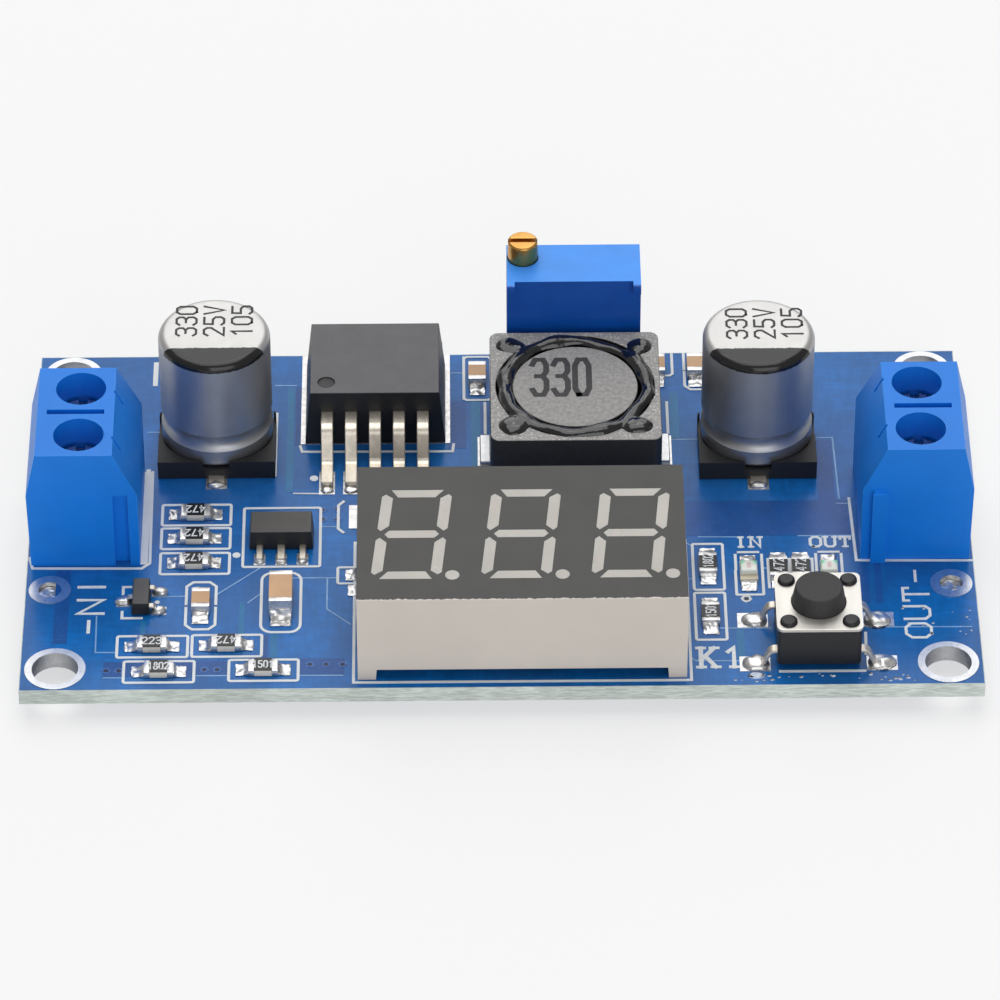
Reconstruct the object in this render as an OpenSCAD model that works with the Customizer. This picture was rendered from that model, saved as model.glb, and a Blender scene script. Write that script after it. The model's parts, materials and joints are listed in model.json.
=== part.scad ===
// Step-down converter module: circuit board with two screw terminals, two electrolytic
// capacitors, a power regulator, a shielded inductor, a many-turn trimmer, a three-digit
// display, a push button and the small chips between them.
// Origin: centre of the mounting hole pattern, on the board's underside. +X points to the
// output terminal, +Y to the trimmer and +Z up. All sizes are in millimetres.

/* [Circuit board] */
// Length of the board
board_length = 66; // [66:0.5:80]
// Width of the board
board_width = 36; // [36:0.5:48]
// Thickness of the board
board_thickness = 1.2; // [0.8:0.1:2]
// Radius of the four mounting holes
mounting_hole_radius = 1.6; // [1.2:0.05:1.65]
// Distance from the board's ends to the mounting holes
hole_inset_x = 2.4; // [2.3:0.05:3]
// Distance from the board's long edges to the mounting holes
hole_inset_y = 2.2; // [2.2:0.05:3]
// Width of the plated ring round a mounting hole
mounting_ring_width = 0.5; // [0.3:0.05:0.55]
// Distance from the board's ends to the wire pads
wire_pad_inset = 1.7; // [1.6:0.05:2.2]
// Distance between the two wire pads at one end
wire_pad_spacing = 15.2; // [14.8:0.1:18]
// Radius of the hole in a wire pad
wire_pad_hole_radius = 0.8; // [0.5:0.05:0.9]
// Width of the plated ring round a wire pad's hole
wire_pad_ring_width = 0.67; // [0.3:0.01:0.7]
// Thickness of the tinned plating
plating = 0.05; // [0.03:0.01:0.08]
// Length of the trimmed pins below the board
pin_stickout = 1.4; // [1:0.1:2.5]

/* [Screw terminals] */
// Distance between the two poles
terminal_pitch = 5; // [4.9:0.1:5.5]
// Depth of a terminal block at its foot
terminal_depth = 7.6; // [7.4:0.1:8.6]
// Height of a terminal block above the board
terminal_height = 9.8; // [9:0.1:12]
// Gap from the board's end to a terminal block's foot
terminal_edge_gap = 0.3; // [0.2:0.1:1]
// Height at which the block's walls start to lean in
terminal_waist = 6.35; // [5.5:0.05:7]
// Diameter of the openings over the clamp screws
screw_opening_diameter = 3.5; // [2.8:0.1:3.6]
// Thickness of the lip that keeps a clamp screw in
screw_lip = 2.1; // [1.2:0.05:2.2]
// Diameter of a clamp screw's head
screw_head_diameter = 3.7; // [3.6:0.05:3.8]
// Height of a clamp screw's head
screw_head_height = 0.8; // [0.7:0.05:1]
// Diameter of a clamp screw's shank
screw_diameter = 2.5; // [2:0.1:2.6]
// Travel of a wire clamp between open and closed
clamp_travel = 1.7; // [1.2:0.1:1.8]
// Width of a wire clamp across the block's pole
clamp_width = 3.7; // [3.4:0.05:3.8]
// Depth of a wire clamp along the wire
clamp_depth = 3.6; // [3:0.1:3.7]
// Thickness of a wire clamp's side walls
clamp_wall = 0.45; // [0.3:0.05:0.5]
// Thickness of a wire clamp's threaded top
clamp_top = 0.8; // [0.7:0.05:1]
// Thickness of a wire clamp's lower jaw
clamp_jaw = 0.6; // [0.5:0.05:0.7]
// Thickness of a contact strip
contact_thickness = 0.5; // [0.4:0.05:0.6]
// Width of the contact strip inside a clamp
contact_width = 2.4; // [1.6:0.1:2.5]
// Width of a contact's solder pin
contact_pin_width = 0.9; // [0.6:0.05:1]

/* [Electrolytic capacitors] */
// Diameter of a capacitor can
can_diameter = 7.9; // [6.3:0.1:8.4]
// Height of a can's top above the board
can_height = 10; // [6:0.1:12]
// Height of the plastic base's corners
capacitor_base_height = 1.5; // [1.1:0.1:1.9]
// Width of a capacitor's lead
capacitor_lead_width = 1.1; // [0.7:0.1:1.4]
// Depth of the rolled groove in a can
can_groove = 0.32; // [0.15:0.01:0.45]

/* [Regulator] */
// Width of the regulator's body at the board
regulator_width = 10; // [9:0.1:11]
// Depth of the regulator's body at the board
regulator_depth = 8.7; // [8:0.1:9]
// Height of the regulator's body
regulator_height = 4.3; // [4:0.1:5]
// Thickness of the regulator's metal tab
tab_thickness = 1.3; // [1:0.1:1.5]
// Length of tab that shows behind the body
tab_reach = 1.2; // [0.6:0.1:1.6]
// Distance between the regulator's leads
regulator_lead_pitch = 1.7; // [1.5:0.05:1.8]
// Width of a regulator lead
regulator_lead_width = 0.86; // [0.6:0.02:0.95]
// Thickness of a regulator lead
regulator_lead_thickness = 0.5; // [0.4:0.05:0.6]

/* [Inductor] */
// Width of the inductor's square shield
inductor_width = 12; // [11:0.1:12.8]
// Height of the inductor
inductor_height = 6; // [5:0.1:8]
// Diameter of the round bore in the shield
shield_bore_diameter = 11.2; // [10.4:0.1:11.4]
// Diameter of the drum core's upper disc
core_disc_diameter = 8.9; // [8:0.1:9.6]
// Diameter of the drum core's post
core_post_diameter = 4.6; // [3.6:0.1:5.4]
// Thickness of the drum core's discs
core_disc_thickness = 1.1; // [0.8:0.1:1.4]
// Width of the inductor's terminals
inductor_terminal_width = 3; // [2:0.1:4]

/* [Trimmer] */
// Length of the trimmer's housing
trimmer_length = 9.53; // [9:0.01:10.2]
// Depth of the trimmer's housing
trimmer_depth = 4.83; // [4.6:0.01:5.2]
// Height of the trimmer's housing above the board
trimmer_height = 10.03; // [9.4:0.01:11]
// Diameter of the trimmer screw's head
trimmer_screw_diameter = 2.15; // [1.8:0.05:2.2]
// Height of the trimmer screw's head above the housing
trimmer_screw_reach = 1.55; // [0.8:0.05:2]
// Diameter of the rotor wheel inside the trimmer
rotor_diameter = 6.2; // [5.6:0.1:6.3]
// Number of teeth on the rotor wheel
rotor_teeth = 30; // [20:1:36]
// Distance between the trimmer's pins
trimmer_pin_pitch = 2.54; // [2.3:0.01:2.6]

/* [Display] */
// Length of the display
display_length = 22.5; // [21.6:0.1:24]
// Depth of the display
display_depth = 14; // [13.4:0.1:14.8]
// Height of the display's face above the board
display_height = 7.2; // [6:0.1:9]
// Height of the notches between the display's feet
display_foot = 0.9; // [0.9:0.05:1.2]
// Length of a foot along the display's walls
display_foot_width = 1.3; // [0.9:0.1:2]
// Thickness of the display's walls
display_wall = 0.6; // [0.5:0.05:0.8]
// Distance between the digits
digit_pitch = 7.5; // [7.2:0.01:7.7]
// Height of a digit
digit_height = 9.32; // [8:0.02:10]
// Width of a digit
digit_width = 4.84; // [4.4:0.02:5]
// Width of a segment
segment_width = 0.8; // [0.6:0.05:1]
// Lean of the digits in degrees
digit_slant = 5.2; // [0:0.1:10]
// Radius of a decimal point
point_radius = 0.5; // [0.3:0.05:0.55]
// Distance between the display's two rows of pins
display_row_spacing = 10.16; // [9.4:0.02:10.8]

/* [Push button] */
// Width of the push button's cover plate
button_width = 5.9; // [5.7:0.1:6.4]
// Height of the cover plate's top above the board
button_height = 3.7; // [3.4:0.1:4.3]
// Height of the plunger's top above the board
plunger_height = 5.05; // [4.4:0.05:8]
// Diameter of the plunger where it leaves the cover
plunger_diameter = 3.7; // [3.2:0.05:3.8]
// Travel of the plunger
plunger_travel = 0.25; // [0.15:0.05:0.35]
// Diameter of the four heads that hold the cover plate
post_diameter = 1.2; // [1:0.05:1.25]

/* [Small chips] */
// Length of a small chip
chip_length = 2; // [1.6:0.1:2.2]
// Width of a small chip
chip_width = 1.25; // [0.8:0.05:1.4]
// Thickness of a chip resistor
resistor_height = 0.5; // [0.35:0.05:0.6]
// Thickness of a small ceramic capacitor
small_capacitor_height = 0.82; // [0.6:0.02:0.84]
// Length of the large ceramic capacitor
large_capacitor_length = 3.2; // [3:0.1:3.6]
// Length of a pad in front of a chip's end
pad_reach = 1; // [0.4:0.05:1.1]

/* [Clearances] */
// Radial gap round a part that turns or slides
running_gap = 0.05; // [0.02:0.01:0.09]
// Gap between neighbours that move past each other
slide_gap = 0.1; // [0.06:0.01:0.15]

/* [Hidden] */
$fn = 48;

cut = 0.5; // how far a cutting shape runs past the face it opens

// Proportions in which the gaps of the rear row and of the front row, from the input end
// to the output end, share the length that the parts leave free
rear_gaps = [0.95, 2.07, 3.18, 2.77, 2.63];
front_gaps = [2.47, 2.45, 1.175, 1.22, 1.395];

// Holes for the pins
contact_hole_radius = 0.68;
pin_hole_radius = 0.42;

left_end = -board_length / 2;
right_end = board_length / 2;
front_edge = -board_width / 2;
back_edge = board_width / 2;

// Screw terminals, in a frame with its origin under the block's foot and the wires from -X
terminal_length = 2 * terminal_pitch;
terminal_bulge = 0.1;
terminal_outer_lean = 0.75;
terminal_chamfer = 1.62;
terminal_end_lean = 0.22;
terminal_floor = 0.5;
terminal_x = terminal_edge_gap + terminal_depth / 2;
pole_y = terminal_pitch / 2;
screw_x = -0.2;
lip_z = terminal_height - screw_lip;
head_z = lip_z - slide_gap - screw_head_height;
clamp_top_z = head_z - running_gap - clamp_travel;
clamp_roof_z = clamp_top_z - clamp_top;
contact_top_z = clamp_roof_z - slide_gap;
contact_bottom_z = contact_top_z - contact_thickness;
clamp_bottom_z = terminal_floor + slide_gap;
jaw_z = clamp_bottom_z + clamp_jaw;
shaft_inner_x = screw_x + clamp_depth / 2 + slide_gap;
contact_pin_x = shaft_inner_x + slide_gap;
dovetail_x = 2.6;
dovetail_reach = 0.4;
dovetail_width = 0.8;
notch_depth = 1.7;
divider_slot_width = 0.5;
divider_slot_length = 4;
divider_slot_depth = 1.6;

// Capacitors
capacitor_base_width = can_diameter + 0.4;
can_foot_z = 0.8;
can_shoulder = 0.6;
capacitor_chamfer = 2.8;
capacitor_lead_thickness = 0.25;
capacitor_lead_reach = 0.65;
input_capacitor_y = 8.4;
output_capacitor_y = 7.9;

// Rear row along the board: terminal, capacitor, regulator, inductor, capacitor, terminal
terminal_end = terminal_edge_gap + terminal_depth;
rear_free = board_length - 2 * terminal_end - 2 * capacitor_base_width - regulator_width
    - inductor_width;
input_capacitor_x = left_end + terminal_end + gap(rear_gaps, 0, rear_free) + capacitor_base_width / 2;
regulator_x = input_capacitor_x + capacitor_base_width / 2 + gap(rear_gaps, 1, rear_free)
    + regulator_width / 2;
inductor_x = regulator_x + regulator_width / 2 + gap(rear_gaps, 2, rear_free) + inductor_width / 2;
output_capacitor_x = right_end - terminal_end - gap(rear_gaps, 4, rear_free)
    - capacitor_base_width / 2;

// Front row along the board: small chips, display, a column of chips, push button
corner_reach = hole_inset_x + mounting_hole_radius + mounting_ring_width;
left_group_width = 12.98;
diode_reach = 0.75;
button_reach = 5.405;
front_free = board_length - 2 * corner_reach - left_group_width - diode_reach - display_length
    - chip_width - 2 * button_reach;
left_group_x = left_end + corner_reach + gap(front_gaps, 0, front_free);
display_x = left_group_x + left_group_width + gap(front_gaps, 1, front_free) + diode_reach
    + display_length / 2;
chip_column_x = display_x + display_length / 2 + gap(front_gaps, 2, front_free) + chip_width / 2;
button_x = chip_column_x + chip_width / 2 + gap(front_gaps, 3, front_free) + button_reach;

// Regulator: its tab ends just inside the board's back edge
regulator_taper = 0.43;
tab_back_y = back_edge - 0.1;
regulator_back_y = tab_back_y - tab_reach;
regulator_front_y = regulator_back_y - regulator_depth;
tab_width = regulator_width - 0.4;
regulator_lead_z = 2.45;
regulator_leads_count = 5;

// Trimmer: its back is flush with the board's back edge
trimmer_x = inductor_x + 0.02;
trimmer_y = back_edge - trimmer_depth / 2;
trimmer_wall = 0.5;
trimmer_screw_x = trimmer_x - trimmer_length / 2 + 1.16;
trimmer_screw_y = back_edge - 1.4;
worm_diameter = 1.1;
rotor_thickness = 0.9;
rotor_x = trimmer_screw_x + worm_diameter / 2 + running_gap + rotor_diameter / 2;
rotor_z = 5.1;
rotor_hub_diameter = 1.6;
element_thickness = 0.6;
element_height = 7.8;
trimmer_boss = 0.62;
trimmer_screw_seat = 0.6;
trimmer_pin_rise = 1.4;
element_back_y = back_edge - trimmer_depth + trimmer_boss + trimmer_wall + element_thickness;
trimmer_pin_diameter = 0.5;

// Inductor: it stands just in front of the trimmer
inductor_y = back_edge - trimmer_depth - 0.17 - inductor_width / 2;
inductor_corner = 0.65;
inductor_foot = 0.3;
inductor_clip = 0.2;
inductor_clip_height = 2.2;
inductor_terminal_reach = 0.75;
core_top_z = inductor_height - 0.05;
winding_bottom_z = inductor_foot + core_disc_thickness;
winding_top_z = core_top_z - core_disc_thickness;

// Display
display_back_y = -3.13;
display_y = display_back_y - display_depth / 2;
display_left = display_x - display_length / 2;
display_floor_z = 2.6;
display_board_thickness = 1;
display_pins_per_row = 6;
display_pin_pitch = 2.54;
display_pin_diameter = 0.5;
digit_y = display_y - 0.13;
segment_gap = 0.33;
point_x = 3.15;
point_y = -4.27;

// Push button
button_y = front_edge + 4.4;
cover_thickness = 0.25;
button_base_width = button_width - 0.15;
button_foot_z = 0.5;
button_lead_y = 2.25;
button_lead_thickness = 0.25;
button_lead_width = 0.7;
button_lead_z = 1.35;
post_offset = 2.13;
cover_hole_diameter = plunger_diameter + 2 * running_gap;
flange_diameter = plunger_diameter + 0.5;
flange_thickness = 0.7;
cover_bottom_z = button_height - cover_thickness;
flange_bottom_z = cover_bottom_z - running_gap - flange_thickness;
dome_radius = 1.9;
dome_thickness = 0.1;
dome_rise = plunger_travel + 0.15;
dome_floor_z = button_lead_z + button_lead_thickness / 2;
dome_top_z = dome_floor_z + dome_rise;

// Small parts
large_capacitor_width = 1.6;
large_capacitor_height = 1.55;
small_regulator_pitch = 1.5;
transistor_lead_y = 0.95;
controller_pins = 20;
controller_pitch = 0.65;
controller_length = 6.5;
controller_width = 4.4;
controller_x = display_x;
controller_y = display_y;
small_regulator_x = left_group_x + 10.73;
small_regulator_y = -2.25;
transistor_x = left_group_x + 1.13;
transistor_y = -8.95;
diode_x = display_left + 2.6;
diode_y = display_back_y + 3.08;
indicator_base_height = 0.3;
end_length = 0.4;
end_plating = 0.04;
coat_thickness = 0.05;

// Places of the chip resistors: x, y and turn
resistor_places = [
    [left_group_x + 4.66, 0.28, 0],
    [left_group_x + 4.64, -2.27, 0],
    [left_group_x + 4.66, -4.91, 0],
    [left_group_x + 2, front_edge + 4.4, 0],
    [left_group_x + 7.11, front_edge + 4.44, 0],
    [left_group_x + 2.54, front_edge + 1.8, 0],
    [left_group_x + 9.69, front_edge + 1.89, 0],
    [chip_column_x, -5.68, 90],
    [chip_column_x + 0.02, -10.87, 90],
    [button_x - 2.35, -6.15, 90],
    [button_x - 0.8, -6.15, 90],
    [display_left + 0.95, -6.3, 0],
];
// Places of the small ceramic capacitors: x, y and turn
small_capacitor_places = [
    [left_group_x + 5.25, -9.38, 90],
    [display_left + 1.13, -7.9, 0],
    [regulator_x + regulator_width / 2 + 0.72 * gap(rear_gaps, 2, rear_free), 15.17, 90],
    [output_capacitor_x - 4.04, 15.95, 90],
    [trimmer_x + trimmer_length / 2 + 1.25, 15.95, 90],
];
// Place of the large ceramic capacitor: x, y and turn
large_capacitor_place = [left_group_x + 10.8, -9.1, 90];
// Places of the two indicator lights: x, y and turn
indicator_places = [
    [button_x - 4.43, -6.4, 90],
    [button_x + 1.17, -6.4, 90],
];

// Gap number i of a row, when the row's gaps share the length `free`
function gap(gaps, i, free) = free * gaps[i] / (gaps * [for (g = gaps) 1]);

// Direction of a flat vector, as a vector of length 1
function unit(v) = v / norm(v);

// Normal of the step that starts at point i of a path
function step_normal(path, i) =
    let (d = unit(path[i + 1] - path[i])) [-d[1], d[0]];

// Offset direction at point i of a path that keeps a strip's thickness through its bends
function bend_normal(path, i) =
    let (
        before = step_normal(path, max(i - 1, 0)),
        after = step_normal(path, min(i, len(path) - 2)),
        middle = unit(before + after)
    ) middle / (middle * before);

// Path with each inner corner replaced by a short curve that starts `reach` before it
function eased(path, reach, steps = 4) = [
    for (i = [0:len(path) - 1])
        if (i == 0 || i == len(path) - 1) path[i]
        else
            let (
                start = path[i] + reach * unit(path[i - 1] - path[i]),
                end = path[i] + reach * unit(path[i + 1] - path[i])
            )
            for (k = [0:steps])
                let (t = k / steps)
                (1 - t) * (1 - t) * start + 2 * t * (1 - t) * path[i] + t * t * end,
];

// Strip of metal bent along a path of [out, up] points, centred on y = 0
module bent_strip(path, thickness, width) {
    last = len(path) - 1;
    rotate([90, 0, 0])
        linear_extrude(height = width, center = true)
            polygon(concat(
                [for (i = [0:last]) path[i] + thickness / 2 * bend_normal(path, i)],
                [for (i = [last:-1:0]) path[i] - thickness / 2 * bend_normal(path, i)]
            ));
}

// Profile in the XZ plane, drawn out along Y
module drawn_along_y(length) {
    rotate([90, 0, 0]) linear_extrude(height = length, center = true) children();
}

// Block whose four walls lean in by `taper` from the foot to the top
module leaning_block(width, depth, height, taper) {
    intersection() {
        drawn_along_y(depth + 2 * cut)
            polygon([[-width / 2, 0], [width / 2, 0],
                     [width / 2 - taper, height], [taper - width / 2, height]]);
        rotate([90, 0, 90])
            linear_extrude(height = width + 2 * cut, center = true)
                polygon([[-depth / 2, 0], [depth / 2, 0],
                         [depth / 2 - taper, height], [taper - depth / 2, height]]);
    }
}

// Upright block with rounded corners, centred on the Z axis
module rounded_block(width, depth, height, radius) {
    translate([-width / 2 + radius, -depth / 2, 0]) cube([width - 2 * radius, depth, height]);
    translate([-width / 2, -depth / 2 + radius, 0]) cube([width, depth - 2 * radius, height]);
    for (x = [-1, 1], y = [-1, 1])
        translate([x * (width / 2 - radius), y * (depth / 2 - radius), 0])
            cylinder(r = radius, h = height, $fn = 32);
}

// Cube centred in X and Y with its foot at z = 0
module block(width, depth, height) {
    translate([-width / 2, -depth / 2, 0]) cube([width, depth, height]);
}

module on_board() {
    translate([0, 0, board_thickness]) children();
}

// Height at which surface-mounted parts stand on their pads
module on_pads() {
    translate([0, 0, board_thickness + plating]) children();
}

module at_mounting_holes() {
    for (x = [-1, 1], y = [-1, 1])
        translate([x * (right_end - hole_inset_x), y * (back_edge - hole_inset_y), 0]) children();
}

module at_wire_pads() {
    for (x = [-1, 1], y = [-1, 1])
        translate([x * (right_end - wire_pad_inset), y * wire_pad_spacing / 2, 0]) children();
}

// Puts its children in the frame of the input block, or of the output block turned round
module at_terminal(output) {
    translate([output ? right_end - terminal_x : left_end + terminal_x, 0, board_thickness])
        rotate([0, 0, output ? 180 : 0]) children();
}

module at_contact_pins() {
    for (output = [false, true]) at_terminal(output)
        for (side = [-1, 1])
            translate([contact_pin_x + contact_thickness / 2, side * pole_y, -board_thickness])
                children();
}

module at_trimmer_pins() {
    for (i = [-1:1]) translate([trimmer_x + i * trimmer_pin_pitch, trimmer_y, 0]) children();
}

module at_display_pins() {
    for (i = [0:display_pins_per_row - 1], side = [-1, 1])
        translate([
            display_x + (i - (display_pins_per_row - 1) / 2) * display_pin_pitch,
            display_y + side * display_row_spacing / 2,
            0
        ]) children();
}

// Puts its children at each place in a list of [x, y, turn]
module at_places(places) {
    for (p = places) translate([p[0], p[1], 0]) rotate([0, 0, p[2]]) children();
}

// ---- Circuit board ----

module circuit_board() {
    color("#1f5f93") difference() {
        translate([left_end, front_edge, 0]) cube([board_length, board_width, board_thickness]);
        at_mounting_holes() board_hole(mounting_hole_radius + plating);
        at_wire_pads() board_hole(wire_pad_hole_radius + plating);
        at_contact_pins() board_hole(contact_hole_radius);
        at_trimmer_pins() board_hole(pin_hole_radius);
        at_display_pins() board_hole(pin_hole_radius);
    }
}

module board_hole(radius) {
    translate([0, 0, -cut]) cylinder(r = radius, h = board_thickness + 2 * cut);
}

// Plated barrel with a flat ring on each face of the board
module plated_hole(radius, ring) {
    difference() {
        union() {
            cylinder(r = radius + plating, h = board_thickness);
            for (z = [-plating, board_thickness])
                translate([0, 0, z]) cylinder(r = radius + ring, h = plating);
        }
        board_hole(radius);
    }
}

module hole_plating() {
    color("#c9ccd0") {
        at_mounting_holes() plated_hole(mounting_hole_radius, mounting_ring_width);
        at_wire_pads() plated_hole(wire_pad_hole_radius, wire_pad_ring_width);
    }
}

// Solder that fills a pin's hole and rises as a cone round the pin below the board
module solder_cone(hole_radius) {
    cone_height = pin_stickout - 0.25;
    cylinder(r = hole_radius, h = board_thickness);
    translate([0, 0, -cone_height])
        cylinder(r1 = hole_radius * 0.85, r2 = hole_radius + 0.45, h = cone_height);
}

module pin_solder() {
    color("#d4d7da") difference() {
        union() {
            at_contact_pins() solder_cone(contact_hole_radius);
            at_trimmer_pins() solder_cone(pin_hole_radius);
            at_display_pins() solder_cone(pin_hole_radius);
        }
        at_contact_pins() contact_pin();
        at_trimmer_pins() round_pin(trimmer_pin_diameter);
        at_display_pins() round_pin(display_pin_diameter);
    }
}

// Round pin from the trimmed end below the board up to the board's top
module round_pin(diameter) {
    translate([0, 0, -pin_stickout])
        cylinder(d = diameter, h = board_thickness + pin_stickout, $fn = 24);
}

// Solder under and in front of a chip's end, which lies at x = 0
module end_solder(width, rise) {
    drawn_along_y(width)
        polygon([
            [-end_length, 0], [pad_reach, 0], [pad_reach, plating], [pad_reach * 0.5, 2 * plating],
            [pad_reach * 0.22, rise * 0.4], [pad_reach * 0.08, rise * 0.75], [0, rise],
            [0, plating], [-end_length, plating],
        ]);
}

// Solder at both ends of a chip that lies along X
module chip_solder(length, width, rise) {
    for (turn = [0, 180])
        rotate([0, 0, turn]) translate([length / 2, 0, 0]) end_solder(width, rise);
}

module flat_pad(x, y, width, depth) {
    translate([x, y, 0]) block(width, depth, plating);
}

module wire_pad_fill() {
    translate([0, 0, board_thickness * 0.2])
        cylinder(r = wire_pad_hole_radius, h = board_thickness * 0.55);
}

module pad_solder() {
    color("#dfe1e3") {
        on_board() {
            at_places(resistor_places)
                chip_solder(chip_length, chip_width - 0.1, resistor_height * 0.8);
            at_places(small_capacitor_places)
                chip_solder(chip_length, chip_width - 0.1, small_capacitor_height * 0.6);
            at_places([large_capacitor_place])
                chip_solder(large_capacitor_length, large_capacitor_width - 0.1, 0.9);
            at_places(indicator_places) chip_solder(chip_length, chip_width - 0.1, 0.3);
            regulator_pads();
            capacitor_pads(input_capacitor_x, input_capacitor_y);
            capacitor_pads(output_capacitor_x, output_capacitor_y);
            for (side = [-1, 1])
                flat_pad(inductor_x + side * (inductor_width / 2 + 0.2), inductor_y,
                         1.4, inductor_terminal_width + 0.2);
            button_pads();
            small_package_pads();
        }
        at_wire_pads() wire_pad_fill();
    }
}

module regulator_pads() {
    pad_front_y = regulator_front_y - 0.05;
    flat_pad(regulator_x, (pad_front_y + tab_back_y) / 2,
             regulator_width + 0.65, tab_back_y - pad_front_y);
    for (i = [-2:2])
        flat_pad(regulator_x + i * regulator_lead_pitch, regulator_front_y - 4.35,
                 regulator_lead_width + 0.25, 2.5);
}

module capacitor_pads(x, y) {
    for (side = [-1, 1])
        flat_pad(x, y + side * capacitor_base_width / 2, capacitor_lead_width + 0.4, 2.3);
}

module button_pads() {
    for (x = [-1, 1], y = [-1, 1])
        flat_pad(button_x + x * (button_base_width / 2 + 1.48), button_y + y * button_lead_y, 2.1, 1.5);
}

module small_package_pads() {
    for (i = [-1:1])
        flat_pad(small_regulator_x + i * small_regulator_pitch, small_regulator_y - 2.3, 0.8, 1.2);
    flat_pad(small_regulator_x, small_regulator_y + 1.55, 2.6, 1);
    flat_pad(transistor_x - 1.25, transistor_y, 1, 0.9);
    for (y = [-1, 1])
        flat_pad(transistor_x + 1.25, transistor_y + y * transistor_lead_y, 1, 0.8);
    for (x = [-1, 1]) flat_pad(diode_x + x * 2.4, diode_y, 1.9, 2.5);
    for (side = [-1, 1], i = [0:controller_pins / 2 - 1])
        flat_pad(controller_x + (i - (controller_pins / 2 - 1) / 2) * controller_pitch,
                 controller_y + side * (controller_width / 2 + 0.85), 0.35, 1.1);
}

// ---- Screw terminals ----

module terminal_profile() {
    polygon([
        [-terminal_depth / 2, 0],
        [-terminal_depth / 2 - terminal_bulge, terminal_waist],
        [-terminal_depth / 2 + terminal_outer_lean - terminal_bulge, terminal_height],
        [terminal_depth / 2 - terminal_chamfer, terminal_height],
        [terminal_depth / 2, terminal_waist],
        [terminal_depth / 2, 0],
    ]);
}

// Outer form of a block, whose end walls lean in above the waist
module terminal_form() {
    intersection() {
        drawn_along_y(terminal_length) terminal_profile();
        rotate([90, 0, 90])
            linear_extrude(height = terminal_depth + 2 * cut, center = true)
                polygon([
                    [-terminal_length / 2, 0], [terminal_length / 2, 0],
                    [terminal_length / 2, terminal_waist],
                    [terminal_length / 2 - terminal_end_lean, terminal_height],
                    [-terminal_length / 2 + terminal_end_lean, terminal_height],
                    [-terminal_length / 2, terminal_waist],
                ]);
    }
}

// Rail, or the groove that takes it, with its mouth on the block's end wall
module dovetail(gap) {
    half = dovetail_width / 2 + gap;
    flare = 0.12;
    linear_extrude(height = terminal_waist - 0.1 + gap)
        polygon([[-half, -gap], [half, -gap],
                 [half + flare, dovetail_reach + gap], [-half - flare, dovetail_reach + gap]]);
}

// Space for one pole's clamp, screw and wire
module pole_cavity() {
    width = clamp_width + 2 * slide_gap;
    depth = clamp_depth + 2 * slide_gap;
    translate([screw_x, 0, terminal_floor]) block(width = depth, depth = width,
                                                  height = head_z - terminal_floor);
    translate([screw_x, 0, head_z - cut])
        cylinder(d = screw_head_diameter + 2 * running_gap, h = lip_z - head_z + cut);
    translate([screw_x, 0, lip_z - cut])
        cylinder(d = screw_opening_diameter, h = screw_lip + 2 * cut);
    wire_entry();
    // narrow notch down the sloping face
    translate([terminal_depth / 2 - terminal_chamfer - 0.1, -0.5, terminal_height - notch_depth])
        cube([0.62, 0.28, notch_depth + cut]);
}

// Opening that a wire goes in through, with a wider mouth
module wire_entry() {
    entry_width = clamp_width - 2 * clamp_wall;
    mouth = 0.35;
    outer_x = -terminal_depth / 2 - terminal_bulge - cut;
    entry_z = jaw_z - 0.05;
    entry_height = contact_bottom_z - entry_z;
    translate([outer_x, -entry_width / 2, entry_z])
        cube([screw_x - outer_x, entry_width, entry_height]);
    translate([outer_x, -entry_width / 2 - mouth, entry_z - mouth])
        cube([cut + terminal_bulge + 0.6, entry_width + 2 * mouth, entry_height + 2 * mouth]);
}

module terminal_housing() {
    difference() {
        union() {
            terminal_form();
            translate([dovetail_x, terminal_length / 2, 0]) dovetail(0);
        }
        translate([dovetail_x, -terminal_length / 2, -0.01]) dovetail(slide_gap);
        for (side = [-1, 1]) translate([0, side * pole_y, 0]) {
            pole_cavity();
            terminal_contact();
        }
        translate([-terminal_depth / 2 + 1.3, -divider_slot_width / 2,
                   terminal_height - divider_slot_depth])
            cube([divider_slot_length, divider_slot_width, divider_slot_depth + cut]);
    }
}

// Leg of a contact, from its trimmed end below the board up to the board's top
module contact_pin() {
    translate([0, 0, -pin_stickout])
        block(contact_thickness, contact_pin_width, board_thickness + pin_stickout);
}

// Strip inside the clamp that the wire is pressed against, with its leg down through the board
module terminal_contact() {
    strip_x = screw_x - clamp_depth / 2;
    translate([strip_x, -contact_width / 2, contact_bottom_z])
        cube([contact_pin_x + contact_thickness - strip_x, contact_width, contact_thickness]);
    translate([contact_pin_x + contact_thickness / 2, 0, -board_thickness - pin_stickout])
        block(contact_thickness, contact_pin_width,
              board_thickness + pin_stickout + contact_top_z - contact_thickness / 2);
}

module terminal_contacts() {
    color("#b9b39c") for (side = [-1, 1]) translate([0, side * pole_y, 0]) terminal_contact();
}

// Cage that rises when its screw is turned in
module wire_clamp() {
    teeth = 4;
    tooth = 0.16;
    tooth_pitch = clamp_depth / (teeth + 1);
    window_width = clamp_width - 2 * clamp_wall;
    color("#c3c6c9") translate([screw_x, 0, 0]) {
        difference() {
            translate([0, 0, clamp_bottom_z])
                block(clamp_depth, clamp_width, clamp_top_z - clamp_bottom_z);
            translate([0, 0, jaw_z])
                block(clamp_depth + 2 * cut, window_width, clamp_roof_z - jaw_z);
            translate([0, 0, clamp_roof_z - cut])
                cylinder(d = screw_diameter + 2 * running_gap, h = clamp_top + 2 * cut);
        }
        for (i = [0:teeth - 1])
            translate([(i - (teeth - 1) / 2) * tooth_pitch, 0, jaw_z])
                drawn_along_y(window_width) polygon([[-tooth, 0], [tooth, 0], [0, tooth]]);
    }
}

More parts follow.
